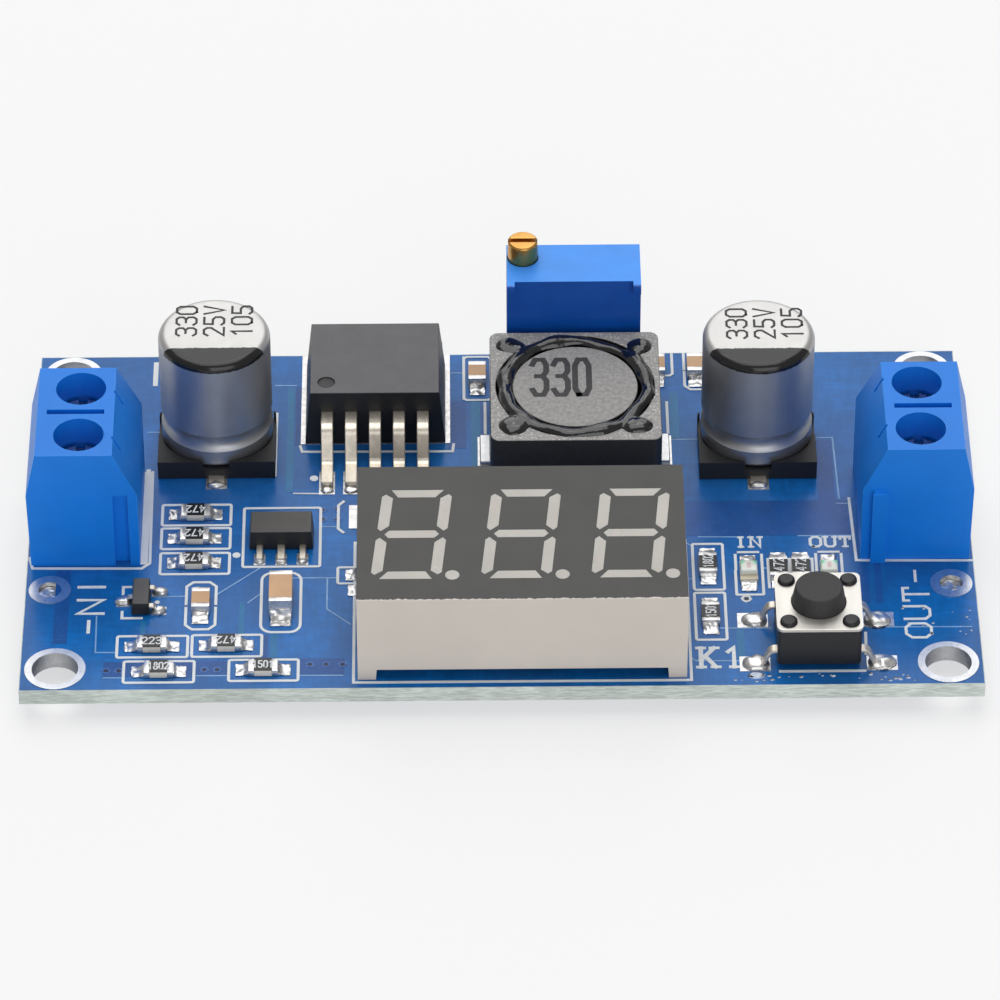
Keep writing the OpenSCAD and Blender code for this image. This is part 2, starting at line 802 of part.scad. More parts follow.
// Clamp screw with a cross and a slot in its head
module clamp_screw() {
    recess_width = 0.6;
    recess_depth = 0.5;
    head_chamfer = 0.3;
    shoulder_z = head_z + screw_head_height - head_chamfer;
    tip_z = contact_top_z + running_gap;
    tip_chamfer = 0.4;
    color("#d6d8da") translate([screw_x, 0, 0]) difference() {
        union() {
            translate([0, 0, head_z]) cylinder(d = screw_head_diameter, h = shoulder_z - head_z);
            translate([0, 0, shoulder_z])
                cylinder(d1 = screw_head_diameter, d2 = screw_head_diameter - 2 * head_chamfer,
                         h = head_chamfer);
            translate([0, 0, tip_z + tip_chamfer])
                cylinder(d = screw_diameter, h = head_z - tip_z - tip_chamfer);
            translate([0, 0, tip_z])
                cylinder(d1 = screw_diameter - 2 * tip_chamfer, d2 = screw_diameter,
                         h = tip_chamfer);
        }
        translate([0, 0, head_z + screw_head_height - recess_depth]) {
            block(recess_width, screw_head_diameter + cut, recess_depth + cut);
            block(screw_head_diameter * 0.62, recess_width, recess_depth + cut);
        }
    }
}

module at_pole(output, rear) {
    // the output block is turned round, so its rear pole is on its own front side
    side = (rear ? 1 : -1) * (output ? -1 : 1);
    at_terminal(output) translate([0, side * pole_y, 0]) children();
}

module input_terminal_housing() { color("#1f78d8") at_terminal(false) terminal_housing(); }
module output_terminal_housing() { color("#1f78d8") at_terminal(true) terminal_housing(); }
module input_terminal_contacts() { at_terminal(false) terminal_contacts(); }
module output_terminal_contacts() { at_terminal(true) terminal_contacts(); }
module input_rear_clamp() { at_pole(false, true) wire_clamp(); }
module input_front_clamp() { at_pole(false, false) wire_clamp(); }
module output_rear_clamp() { at_pole(true, true) wire_clamp(); }
module output_front_clamp() { at_pole(true, false) wire_clamp(); }
module input_rear_screw() { at_pole(false, true) clamp_screw(); }
module input_front_screw() { at_pole(false, false) clamp_screw(); }
module output_rear_screw() { at_pole(true, true) clamp_screw(); }
module output_front_screw() { at_pole(true, false) clamp_screw(); }

// ---- Electrolytic capacitors ----

// Can with a rounded shoulder, a rolled groove near the foot and a rounded foot
module can() {
    r = can_diameter / 2;
    foot = 0.45;
    groove_r = 0.9;
    groove_z = can_foot_z + 2.1;
    color("#b8babd") rotate_extrude($fn = 96) difference() {
        union() {
            translate([0, can_foot_z]) square([r - can_shoulder, can_height - can_foot_z]);
            translate([0, can_foot_z + foot])
                square([r, can_height - can_shoulder - can_foot_z - foot]);
            translate([r - foot, can_foot_z + foot]) circle(r = foot);
            translate([r - can_shoulder, can_height - can_shoulder]) circle(r = can_shoulder);
        }
        translate([r + groove_r - can_groove, groove_z]) circle(r = groove_r);
    }
}

// Plastic base with two cut corners and a round seat for the can
module capacitor_base() {
    half = capacitor_base_width / 2;
    seat_radius = can_diameter / 2 + 0.3;
    color("#1d1d1f") difference() {
        linear_extrude(height = capacitor_base_height)
            polygon([[-half, -half], [half, -half], [half, half - capacitor_chamfer],
                     [half - capacitor_chamfer, half], [capacitor_chamfer - half, half],
                     [-half, half - capacitor_chamfer]]);
        translate([0, 0, can_foot_z])
            cylinder(r = seat_radius, h = capacitor_base_height, $fn = 96);
        capacitor_lead_shapes();
    }
}

// Leads that come down from the can and turn outwards under the base
module capacitor_lead_shapes() {
    t = capacitor_lead_thickness;
    for (turn = [-90, 90])
        rotate([0, 0, turn])
            bent_strip(
                [[1.4, can_foot_z], [1.4, t / 2],
                 [capacitor_base_width / 2 + capacitor_lead_reach, t / 2]],
                t, capacitor_lead_width
            );
}

module at_capacitor(output) {
    translate([
        output ? output_capacitor_x : input_capacitor_x,
        output ? output_capacitor_y : input_capacitor_y,
        board_thickness + plating
    ]) children();
}

module input_capacitor_can() { at_capacitor(false) can(); }
module output_capacitor_can() { at_capacitor(true) can(); }
module input_capacitor_base() { at_capacitor(false) capacitor_base(); }
module output_capacitor_base() { at_capacitor(true) capacitor_base(); }
module input_capacitor_leads() { color("#cfd1d4") at_capacitor(false) capacitor_lead_shapes(); }
module output_capacitor_leads() { color("#cfd1d4") at_capacitor(true) capacitor_lead_shapes(); }

// ---- Regulator ----

module regulator_body() {
    color("#2b2d30") on_pads() difference() {
        translate([regulator_x, (regulator_front_y + regulator_back_y) / 2, 0])
            leaning_block(regulator_width, regulator_depth, regulator_height, regulator_taper);
        regulator_tab_shape();
        regulator_lead_shapes();
        // moulded dimple that marks the first lead
        translate([regulator_x - regulator_width / 2 + 1.55, regulator_front_y + 1.65,
                   regulator_height - 0.12])
            cylinder(r = 0.6, h = cut);
    }
}

// Metal plate under the body that reaches out behind it
module regulator_tab_shape() {
    buried = 0.8;
    tab_front_y = regulator_front_y + buried;
    difference() {
        translate([regulator_x - tab_width / 2, tab_front_y, 0])
            cube([tab_width, tab_back_y - tab_front_y, tab_thickness]);
        for (side = [-1, 1])
            translate([regulator_x + side * tab_width / 2, tab_back_y - 0.55, -cut])
                cylinder(r = 0.4, h = tab_thickness + 2 * cut, $fn = 24);
    }
}

module regulator_lead_shapes() {
    t = regulator_lead_thickness;
    y0 = regulator_front_y;
    path = eased([[-0.9, regulator_lead_z], [1.35, regulator_lead_z], [2.5, t / 2], [4.85, t / 2]],
                 0.45);
    for (i = [0:regulator_leads_count - 1])
        translate([
            regulator_x + (i - (regulator_leads_count - 1) / 2) * regulator_lead_pitch, y0, 0
        ])
            rotate([0, 0, -90]) bent_strip(path, t, regulator_lead_width);
}

module regulator_tab() { color("#c9cbce") on_pads() regulator_tab_shape(); }
module regulator_leads() { color("#d2d3d4") on_pads() regulator_lead_shapes(); }

// ---- Inductor ----

module at_inductor() {
    translate([inductor_x, inductor_y, board_thickness + plating]) children();
}

// Square ferrite ring with rounded corners
module inductor_shield() {
    color("#6f7276") at_inductor() difference() {
        translate([0, 0, inductor_foot])
            rounded_block(inductor_width, inductor_width, inductor_height - inductor_foot,
                          inductor_corner);
        translate([0, 0, -cut])
            cylinder(d = shield_bore_diameter, h = inductor_height + 2 * cut, $fn = 96);
        for (side = [-1, 1])
            translate([side * inductor_width / 2, 0, 0])
                block(2 * inductor_clip, inductor_terminal_width,
                      inductor_clip_height + slide_gap);
    }
}

// Drum core: two discs on a post
module inductor_core() {
    color("#7a7d81") at_inductor() rotate_extrude($fn = 96) polygon([
        [0, inductor_foot], [core_disc_diameter / 2 + 0.3, inductor_foot],
        [core_disc_diameter / 2 + 0.3, winding_bottom_z], [core_post_diameter / 2, winding_bottom_z],
        [core_post_diameter / 2, winding_top_z], [core_disc_diameter / 2, winding_top_z],
        [core_disc_diameter / 2, core_top_z], [0, core_top_z],
    ]);
}

// Copper wire in layers on the post
module inductor_winding() {
    outer = core_disc_diameter / 2 - 0.2;
    color("#b5652b") at_inductor() translate([0, 0, winding_bottom_z]) difference() {
        cylinder(r = outer, h = winding_top_z - winding_bottom_z, $fn = 96);
        translate([0, 0, -cut])
            cylinder(d = core_post_diameter, h = inductor_height, $fn = 96);
    }
}

// Ring of glue between the upper disc and the shield, with a drop at each corner
module inductor_glue() {
    glue_depth = 0.9;
    drop_radius = 0.75;
    drop_rise = 0.16;
    drop_sphere = (drop_radius * drop_radius + drop_rise * drop_rise) / (2 * drop_rise);
    glue_top_z = core_top_z - 0.1;
    color("#15161a") at_inductor() {
        translate([0, 0, glue_top_z - glue_depth]) difference() {
            cylinder(d = shield_bore_diameter, h = glue_depth, $fn = 96);
            translate([0, 0, -cut])
                cylinder(d = core_disc_diameter, h = glue_depth + 2 * cut, $fn = 96);
        }
        for (angle = [45:90:315])
            rotate([0, 0, angle]) translate([shield_bore_diameter / 2 + drop_radius + 0.05, 0, 0])
                intersection() {
                    translate([0, 0, inductor_height + drop_rise - drop_sphere])
                        sphere(r = drop_sphere);
                    translate([0, 0, inductor_height]) cylinder(r = drop_radius + cut, h = 1);
                }
    }
}

// Clip on each side of the shield with a foot under it and a tongue that is soldered down
module inductor_terminal_shapes() {
    t = inductor_clip;
    side_x = inductor_width / 2 - t / 2;
    for (turn = [0, 180])
        translate([inductor_x, inductor_y, 0]) rotate([0, 0, turn]) {
            translate([side_x - t / 2, -inductor_terminal_width / 2, 0])
                cube([t, inductor_terminal_width, inductor_clip_height]);
            translate([inductor_width / 2 - 2, -inductor_terminal_width / 2, 0])
                cube([2 + inductor_terminal_reach, inductor_terminal_width, inductor_foot]);
        }
}

module inductor_terminals() { color("#cdd0d2") on_pads() inductor_terminal_shapes(); }

// ---- Trimmer ----

module at_trimmer() {
    translate([trimmer_x, trimmer_y, board_thickness]) children();
}

// Housing with small bosses at its upper front corners and a chamber for the wheel and screw
module trimmer_housing() {
    boss_height = 0.75;
    boss_width = 0.55;
    color("#1768c4") at_trimmer() difference() {
        block(trimmer_length, trimmer_depth, trimmer_height);
        translate([-trimmer_length / 2 - cut, -trimmer_depth / 2 - cut, -cut])
            cube([trimmer_length + 2 * cut, trimmer_boss + cut,
                  trimmer_height - boss_height + cut]);
        translate([0, -trimmer_depth / 2 + (trimmer_boss - cut) / 2,
                   trimmer_height - boss_height - cut])
            block(trimmer_length - 2 * boss_width, trimmer_boss + cut, boss_height + 2 * cut);
        translate([trimmer_screw_x - trimmer_x, trimmer_screw_y - trimmer_y, 0]) {
            translate([0, 0, trimmer_wall])
                cylinder(d = worm_diameter + 2 * running_gap, h = trimmer_height);
            translate([0, 0, trimmer_height - trimmer_screw_seat])
                cylinder(d = trimmer_screw_diameter + 2 * running_gap,
                         h = trimmer_screw_seat + cut);
        }
        rotor_chamber();
        element_shape();
        for (i = [-1:1]) translate([i * trimmer_pin_pitch, 0, -cut])
            cylinder(d = trimmer_pin_diameter, h = trimmer_pin_rise + cut, $fn = 24);
    }
}

module rotor_chamber() {
    translate([rotor_x - trimmer_x, trimmer_screw_y - trimmer_y + rotor_thickness / 2 + slide_gap,
               rotor_z])
        rotate([90, 0, 0])
            cylinder(r = rotor_diameter / 2 + 2 * slide_gap,
                     h = trimmer_screw_y - element_back_y + rotor_thickness / 2 + slide_gap);
}

// Ceramic plate that carries the resistor track, against the housing's front wall
module element_shape() {
    translate([0, element_back_y - element_thickness / 2 - trimmer_y, rotor_z - element_height / 2])
        block(trimmer_length - 2 * trimmer_wall - 0.4, element_thickness, element_height);
}

module trimmer_element() { color("#e6e4dc") at_trimmer() element_shape(); }

// Toothed wheel with a hub that bears on the element
module trimmer_rotor() {
    tooth_depth = 0.3;
    r = rotor_diameter / 2;
    hub_reach = trimmer_screw_y - rotor_thickness / 2 - element_back_y - running_gap;
    outline = [
        for (i = [0:rotor_teeth - 1], k = [0:3])
            let (
                angle = 360 * (i + [0, 0.25, 0.5, 0.75][k]) / rotor_teeth,
                radius = (k < 2) ? r : r - tooth_depth
            ) radius * [cos(angle), sin(angle)],
    ];
    color("#ece9e0") translate([rotor_x, trimmer_screw_y, board_thickness + rotor_z])
        rotate([90, 0, 0]) {
            linear_extrude(height = rotor_thickness, center = true) polygon(outline);
            cylinder(d = rotor_hub_diameter, h = rotor_thickness / 2 + hub_reach);
        }
}

// Screw with a slotted brass head above the housing and a worm inside it
module trimmer_screw() {
    neck_z = trimmer_height - trimmer_screw_seat + running_gap;
    slot_width = 0.42;
    slot_depth = 0.55;
    edge = 0.12;
    r = trimmer_screw_diameter / 2;
    top_z = trimmer_height + trimmer_screw_reach;
    color("#c9a24a") translate([trimmer_screw_x, trimmer_screw_y, board_thickness])
        difference() {
            union() {
                translate([0, 0, trimmer_wall + running_gap])
                    cylinder(d = worm_diameter, h = neck_z);
                translate([0, 0, neck_z]) cylinder(r = r, h = top_z - neck_z - edge);
                translate([0, 0, top_z - edge]) cylinder(r1 = r, r2 = r - edge, h = edge);
            }
            translate([0, 0, top_z - slot_depth])
                block(trimmer_screw_diameter + cut, slot_width, slot_depth + cut);
        }
}

module trimmer_pins() {
    color("#cfd1d3") at_trimmer_pins() {
        round_pin(trimmer_pin_diameter);
        translate([0, 0, board_thickness])
            cylinder(d = trimmer_pin_diameter, h = trimmer_pin_rise, $fn = 24);
    }
}

// ---- Display ----

// Point of a digit leaned over by the digits' slant
function leaned(p) = [p[0] + p[1] * tan(digit_slant), p[1]];

function mirrored(points, x, y) = [for (p = points) [x * p[0], y * p[1]]];

// Outline of the top segment
function bar_segment() =
    let (w = digit_width / 2, h = digit_height / 2, s = segment_width, g = segment_gap)
    [[0.75 * s - w, h], [w - 0.75 * s, h], [w - s - g, h - s], [s + g - w, h - s]];

// Outline of the middle segment
function middle_segment() =
    let (w = digit_width / 2, s = segment_width)
    [[0.66 * s - w, 0], [1.05 * s - w, s / 2], [w - 1.05 * s, s / 2],
     [w - 0.66 * s, 0], [w - 1.05 * s, -s / 2], [1.05 * s - w, -s / 2]];

// Outline of the upper left segment
function side_segment() =
    let (w = digit_width / 2, h = digit_height / 2, s = segment_width, g = segment_gap)
    [[-w, h - 0.85 * s], [0.33 * s - w, h - 0.55 * s], [s - w, h - 1.08 * s],
     [s - w, s / 2 + 1.4 * g], [0.33 * s - w, g], [-w, g + 0.35 * s]];

// The eight segments of one digit, as flat shapes
module digit_outline() {
    polygon([for (p = middle_segment()) leaned(p)]);
    for (y = [-1, 1]) {
        polygon([for (p = mirrored(bar_segment(), 1, y)) leaned(p)]);
        for (x = [-1, 1]) polygon([for (p = mirrored(side_segment(), x, y)) leaned(p)]);
    }
    translate(leaned([point_x, point_y])) circle(r = point_radius, $fn = 32);
}

module segment_shapes() {
    for (i = [-1:1])
        translate([display_x + i * digit_pitch, digit_y, display_floor_z])
            linear_extrude(height = display_height - display_floor_z) digit_outline();
}

// Moulded shell: a window for each segment, an open back and a foot at each corner
module display_housing() {
    inner_length = display_length - 2 * display_wall;
    inner_depth = display_depth - 2 * display_wall;
    slot = display_length / 2 - display_foot_width;
    flare = 0.2;
    color("#d9cfc7") on_board() difference() {
        translate([display_x, display_y, 0]) block(display_length, display_depth, display_height);
        segment_shapes();
        translate([display_x, display_y, -cut])
            block(inner_length, inner_depth, display_floor_z + cut);
        translate([display_x, display_y, 0]) {
            drawn_along_y(display_depth + 2 * cut)
                polygon([[-slot - flare / 2, -cut], [slot + flare / 2, -cut],
                         [slot, display_foot], [-slot, display_foot]]);
            rotate([0, 0, 90]) drawn_along_y(display_length + 2 * cut)
                polygon([[-display_depth / 2 + 2.4, -cut], [display_depth / 2 - 2.4, -cut],
                         [display_depth / 2 - 2.5, display_foot],
                         [2.5 - display_depth / 2, display_foot]]);
        }
    }
}

module display_segments() { color("#cfc8c0") on_board() segment_shapes(); }

// Small board that closes the display's back
module display_board() {
    color("#d8d3b8") difference() {
        on_board() translate([display_x, display_y, display_floor_z - display_board_thickness])
            block(display_length - 2 * display_wall, display_depth - 2 * display_wall,
                  display_board_thickness);
        at_display_pins() translate([0, 0, board_thickness])
            cylinder(d = display_pin_diameter, h = display_floor_z + cut, $fn = 24);
    }
}

module display_pins() {
    color("#cfd1d3") at_display_pins() {
        round_pin(display_pin_diameter);
        translate([0, 0, board_thickness])
            cylinder(d = display_pin_diameter, h = display_floor_z, $fn = 24);
    }
}

// ---- Chips with gull-wing leads ----

// Moulded body that leans in above its lead plane
module chip_body(length, width, height, standoff = 0.1) {
    translate([0, 0, standoff])
        leaning_block(length, width, height - standoff, 0.1);
}

// One lead from the body's side, at x = 0, down to a foot `reach` away
module gull_lead(exit_z, reach, thickness, width, buried = 0.25) {
    bent_strip(
        eased([[-buried, exit_z], [reach * 0.28, exit_z], [reach * 0.48, thickness / 2],
               [reach, thickness / 2]], min(reach * 0.12, exit_z * 0.3), 3),
        thickness, width
    );
}

module at_controller() {
    on_pads() translate([controller_x, controller_y, 0]) children();
}

module controller_lead_shapes() {
    for (side = [0, 180], i = [0:controller_pins / 2 - 1])
        rotate([0, 0, side])
            translate([(i - (controller_pins / 2 - 1) / 2) * controller_pitch,
                       -controller_width / 2, 0])
                rotate([0, 0, -90]) gull_lead(0.5, 1, 0.12, 0.24, 0.3);
}

module controller_body() {
    color("#2a2c2f") at_controller() difference() {
        chip_body(controller_length, controller_width, 1.05);
        controller_lead_shapes();
    }
}

module controller_leads() { color("#cfd1d3") at_controller() controller_lead_shapes(); }

module at_small_regulator() {
    on_pads() translate([small_regulator_x, small_regulator_y, 0]) children();
}

// Three flat leads in front and the tab behind, in one flat piece
module small_regulator_lead_shapes() {
    t = 0.4;
    translate([0, 1.3, 0]) block(1.7, 1.8, t);
    for (i = [-1:1])
        translate([i * small_regulator_pitch, -1.7, 0]) block(i == 0 ? 0.55 : 0.45, 1.9, t);
    block(0.55, 2, t);
}

module small_regulator_body() {
    color("#2a2c2f") at_small_regulator() difference() {
        leaning_block(4.5, 2.5, 1.5, 0.12);
        small_regulator_lead_shapes();
    }
}

module small_regulator_leads() {
    color("#d2d3d4") at_small_regulator() small_regulator_lead_shapes();
}

module at_transistor() {
    on_pads() translate([transistor_x, transistor_y, 0]) children();
}

module transistor_lead_shapes() {
    half = 0.65;
    rotate([0, 0, 180]) translate([half, 0, 0]) gull_lead(0.5, 0.85, 0.14, 0.42);
    for (y = [-1, 1])
        translate([half, y * transistor_lead_y, 0]) gull_lead(0.5, 0.85, 0.14, 0.42);
}

module transistor_body() {
    color("#2f3134") at_transistor() difference() {
        chip_body(1.3, 2.9, 1.05);
        transistor_lead_shapes();
    }
}

module transistor_leads() { color("#cfd1d3") at_transistor() transistor_lead_shapes(); }

module at_diode() {
    on_pads() translate([diode_x, diode_y, 0]) children();
}

// Wide leads that come out at mid height and fold back under the body
module diode_lead_shapes() {
    t = 0.25;
    for (turn = [0, 180])
        rotate([0, 0, turn])
            bent_strip([[1.9, 1.1], [2.15 + t * 1.5, 1.1], [2.15 + t * 1.5, t / 2], [1.3, t / 2]],
                       t, 2);
}

module diode_body() {
    color("#26282b") at_diode() difference() {
        translate([0, 0, 0.25]) leaning_block(4.3, 3.6, 1.95, 0.12);
        diode_lead_shapes();
    }
}

module diode_leads() { color("#cfd1d3") at_diode() diode_lead_shapes(); }

// ---- Push button ----

module at_button() {
    on_pads() translate([button_x, button_y, 0]) children();
}

module at_posts() {
    for (x = [-1, 1], y = [-1, 1]) translate([x * post_offset, y * post_offset, 0]) children();
}

// Moulded base with the chamber for the dome and the plunger, and the cover's four posts
module button_base() {
    post_head = 0.25;
    color("#1f2023") at_button() difference() {
        union() {
            translate([0, 0, button_foot_z])
                rounded_block(button_base_width, button_base_width, cover_bottom_z - button_foot_z,
                              0.3);
            at_posts() translate([0, 0, cover_bottom_z - cut])
                cylinder(d = post_diameter, h = cover_thickness + post_head + cut, $fn = 32);
        }
        translate([0, 0, dome_floor_z])
            cylinder(d = flange_diameter + 2 * slide_gap, h = button_height);
        button_lead_shapes();
    }
}

module button_cover() {
    color("#c6c4bd") at_button() translate([0, 0, cover_bottom_z]) difference() {
        rounded_block(button_width, button_width, cover_thickness, 0.45);
        translate([0, 0, -cut]) cylinder(d = cover_hole_diameter, h = cover_thickness + 2 * cut);
        at_posts() translate([0, 0, -cut])
            cylinder(d = post_diameter, h = cover_thickness + 2 * cut, $fn = 32);
    }
}

// Plunger with a flange under the cover and a short nib on the dome
module button_plunger() {
    taper = 0.22;
    r = plunger_diameter / 2;
    straight_z = button_height + 0.1;
    color("#2c2d30") at_button() {
        translate([0, 0, dome_top_z]) cylinder(r = 0.6, h = flange_bottom_z - dome_top_z);
        translate([0, 0, flange_bottom_z])
            cylinder(d = flange_diameter, h = flange_thickness);
        translate([0, 0, flange_bottom_z]) cylinder(r = r, h = straight_z - flange_bottom_z);
        translate([0, 0, straight_z])
            cylinder(r1 = r, r2 = r - taper, h = plunger_height - straight_z);
    }
}

// Snap dome on the floor of the chamber
module button_dome() {
    sphere_radius = (dome_radius * dome_radius + dome_rise * dome_rise) / (2 * dome_rise);
    color("#cbb98a") at_button() translate([0, 0, dome_top_z - sphere_radius])
        intersection() {
            difference() {
                sphere(r = sphere_radius, $fn = 96);
                sphere(r = sphere_radius - dome_thickness, $fn = 96);
            }
            translate([0, 0, sphere_radius - dome_rise])
                cylinder(r = dome_radius + cut, h = dome_rise + cut);
        }
}

// Four leads that curve down to feet on the board
module button_lead_shapes() {
    t = button_lead_thickness;
    for (turn = [0, 180], y = [-1, 1])
        rotate([0, 0, turn]) translate([button_base_width / 2, y * button_lead_y, 0])
            bent_strip(
                eased([[-0.8, button_lead_z], [0.42, button_lead_z], [0.95, t / 2],
                       [1.5, t / 2]], 0.3),
                t, button_lead_width
            );
}

module button_leads() { color("#cfcdc6") at_button() button_lead_shapes(); }

// ---- Resistors, ceramic capacitors and indicator lights ----

// Metal cap round one end of a chip that lies along X, or only its shell without the core
module chip_ends(length, width, height) {
    for (side = [-1, 1]) difference() {
        translate([side * (length - end_length) / 2, 0, 0]) block(end_length, width, height);
        chip_core(length, width, height);
    }
}

module chip_core(length, width, height) {
    translate([0, 0, end_plating])
        block(length - 2 * end_plating, width - 2 * end_plating, height - 2 * end_plating);
}

// Ceramic between and inside the two metal ends
module chip_ceramic(length, width, height) {
    chip_core(length, width, height);
    block(length - 2 * end_length, width, height);
}

module at_resistors() { on_pads() at_places(resistor_places) children(); }

module resistor_bodies() {
    color("#e8e6e0") at_resistors() chip_ceramic(chip_length, chip_width, resistor_height);
}

module resistor_ends() {
    color("#d7d8da") at_resistors() chip_ends(chip_length, chip_width, resistor_height);
}

module resistor_coats() {
    color("#1c1c1e") at_resistors() translate([0, 0, resistor_height])
        block(chip_length - 2 * end_length, chip_width, coat_thickness);
}

module ceramic_capacitor_bodies() {
    color("#b49a78") on_pads() {
        at_places(small_capacitor_places)
            chip_ceramic(chip_length, chip_width, small_capacitor_height);
        at_places([large_capacitor_place])
            chip_ceramic(large_capacitor_length, large_capacitor_width, large_capacitor_height);
    }
}

module ceramic_capacitor_ends() {
    color("#d7d8da") on_pads() {
        at_places(small_capacitor_places)
            chip_ends(chip_length, chip_width, small_capacitor_height);
        at_places([large_capacitor_place])
            chip_ends(large_capacitor_length, large_capacitor_width, large_capacitor_height);
    }
}

module indicator_bases() {
    color("#e9efe8") on_pads() at_places(indicator_places)
        block(chip_length, chip_width, indicator_base_height);
}

module indicator_lenses() {
    color("#e4f3e6") on_pads() at_places(indicator_places)
        translate([0, 0, indicator_base_height])
            leaning_block(chip_length - 2 * end_length, chip_width, 0.45, 0.06);
}

circuit_board();
hole_plating();
pin_solder();
pad_solder();
input_terminal_housing();
input_terminal_contacts();
input_rear_clamp();
input_front_clamp();
input_rear_screw();
input_front_screw();
output_terminal_housing();
output_terminal_contacts();
output_rear_clamp();
output_front_clamp();
output_rear_screw();
output_front_screw();
input_capacitor_can();
input_capacitor_base();
input_capacitor_leads();
output_capacitor_can();
output_capacitor_base();
output_capacitor_leads();
regulator_body();
regulator_tab();
regulator_leads();
inductor_shield();
inductor_core();
inductor_winding();
inductor_glue();
inductor_terminals();
trimmer_housing();
trimmer_screw();
trimmer_rotor();
trimmer_element();
trimmer_pins();
display_housing();
display_segments();
display_board();
display_pins();
controller_body();
controller_leads();
button_base();
button_cover();
button_plunger();
button_dome();
button_leads();
small_regulator_body();
small_regulator_leads();
transistor_body();
transistor_leads();
diode_body();
diode_leads();
resistor_bodies();
resistor_ends();
resistor_coats();
ceramic_capacitor_bodies();
ceramic_capacitor_ends();
indicator_lenses();
indicator_bases();
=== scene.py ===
"""Looks of the step-down converter module: finishes, printed marks and softened edges."""

import json
import logging
import math
from contextlib import contextmanager
from dataclasses import dataclass, field
from enum import Enum
from random import Random
from typing import Any, Iterator, Optional, Sequence, Union

import bmesh
import bpy
from mathutils import Matrix, Vector, noise


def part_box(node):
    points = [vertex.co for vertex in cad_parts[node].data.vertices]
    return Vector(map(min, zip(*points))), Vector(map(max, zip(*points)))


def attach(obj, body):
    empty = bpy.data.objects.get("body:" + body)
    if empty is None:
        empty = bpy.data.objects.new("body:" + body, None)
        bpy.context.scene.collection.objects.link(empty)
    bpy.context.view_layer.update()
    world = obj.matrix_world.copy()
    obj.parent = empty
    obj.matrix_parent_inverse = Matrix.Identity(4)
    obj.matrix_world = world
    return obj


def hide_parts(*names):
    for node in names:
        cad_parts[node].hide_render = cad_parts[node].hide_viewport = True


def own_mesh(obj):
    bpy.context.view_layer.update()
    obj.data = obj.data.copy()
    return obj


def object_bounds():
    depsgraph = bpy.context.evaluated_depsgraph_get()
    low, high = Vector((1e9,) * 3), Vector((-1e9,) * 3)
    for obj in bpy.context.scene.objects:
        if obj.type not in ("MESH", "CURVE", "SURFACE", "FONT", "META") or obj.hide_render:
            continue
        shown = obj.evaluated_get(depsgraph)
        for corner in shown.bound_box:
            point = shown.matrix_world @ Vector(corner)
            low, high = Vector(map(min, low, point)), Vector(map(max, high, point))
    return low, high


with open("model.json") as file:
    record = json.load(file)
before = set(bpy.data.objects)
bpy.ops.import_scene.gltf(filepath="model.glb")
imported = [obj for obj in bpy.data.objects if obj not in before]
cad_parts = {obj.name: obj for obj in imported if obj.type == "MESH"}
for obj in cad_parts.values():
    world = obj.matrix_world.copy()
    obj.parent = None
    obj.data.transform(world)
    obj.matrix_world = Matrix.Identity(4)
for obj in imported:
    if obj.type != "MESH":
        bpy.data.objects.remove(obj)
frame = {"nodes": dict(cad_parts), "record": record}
CAD_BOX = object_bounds()
bpy.ops.object.select_all(action="DESELECT")

LOG = logging.getLogger("module")
MM = 0.001
BOARD = "board"
GLOSS_WANDER = 0.16
GLOSS_LUMPS = 0.4
COAT_ROUGHNESS = 0.08
GLOW_DEPTH = 0.8
Color = tuple[float, float, float]
Point = tuple[float, float]


def shade(red: int, green: int, blue: int) -> Color:
    """Gives the linear colour of a display colour of 0 to 255 in each part."""

    def linear(part: int) -> float:
        """Undoes the display curve for one part."""
        share = part / 255
        return share / 12.92 if share <= 0.04045 else ((share + 0.055) / 1.055) ** 2.4

    return linear(red), linear(green), linear(blue)


# ---------------------------------------------------------------- shader maths


class Signal:
    """A number, colour or vector that a material carries, with plain maths on numbers."""

    def __init__(self, wiring: "Wiring", socket: bpy.types.NodeSocket) -> None:
        """Holds the socket and the wiring that it belongs to."""
        self.wiring = wiring
        self.socket = socket

    def math(self, operation: str, *values: Any) -> "Signal":
        """Adds a Math node.

        Args:
            operation: The Math node's operation.
            values: Its inputs in order, as signals or numbers.

        Returns:
            The node's result.
        """
        node = self.wiring.node(
            "Math", {"operation": operation}, dict(enumerate(values))
        )
        return Signal(self.wiring, node.outputs[0])

    def __add__(self, other: "Number") -> "Signal":
        """Adds a number or signal."""
        return self.math("ADD", self, other)

    def __sub__(self, other: "Number") -> "Signal":
        """Takes a number or signal away."""
        return self.math("SUBTRACT", self, other)

    def __rsub__(self, other: "Number") -> "Signal":
        """Takes this away from a number."""
        return self.math("SUBTRACT", other, self)

    def __mul__(self, other: "Number") -> "Signal":
        """Multiplies by a number or signal."""
        return self.math("MULTIPLY", self, other)

    __radd__ = __add__
    __rmul__ = __mul__

    def __abs__(self) -> "Signal":
        """Drops the sign."""
        return self.math("ABSOLUTE", self)

    def least(self, other: "Number") -> "Signal":
        """Gives the smaller of the two."""
        return self.math("MINIMUM", self, other)

    def most(self, other: "Number") -> "Signal":
        """Gives the larger of the two."""
        return self.math("MAXIMUM", self, other)

    def rise(self, low: float, high: float) -> "Signal":
        """Gives 0 below `low`, 1 above `high` and a smooth step between them.

        Args:
            low: Where the step starts.
            high: Where the step ends.

        Returns:
            The step as a share from 0 to 1.
        """
        node = self.wiring.node(
            "MapRange",
            {"interpolation_type": "SMOOTHSTEP"},
            {"Value": self, "From Min": low, "From Max": high},
        )
        return Signal(self.wiring, node.outputs[0])


Number = Union[Signal, float]
Tint = Union[Signal, Color]


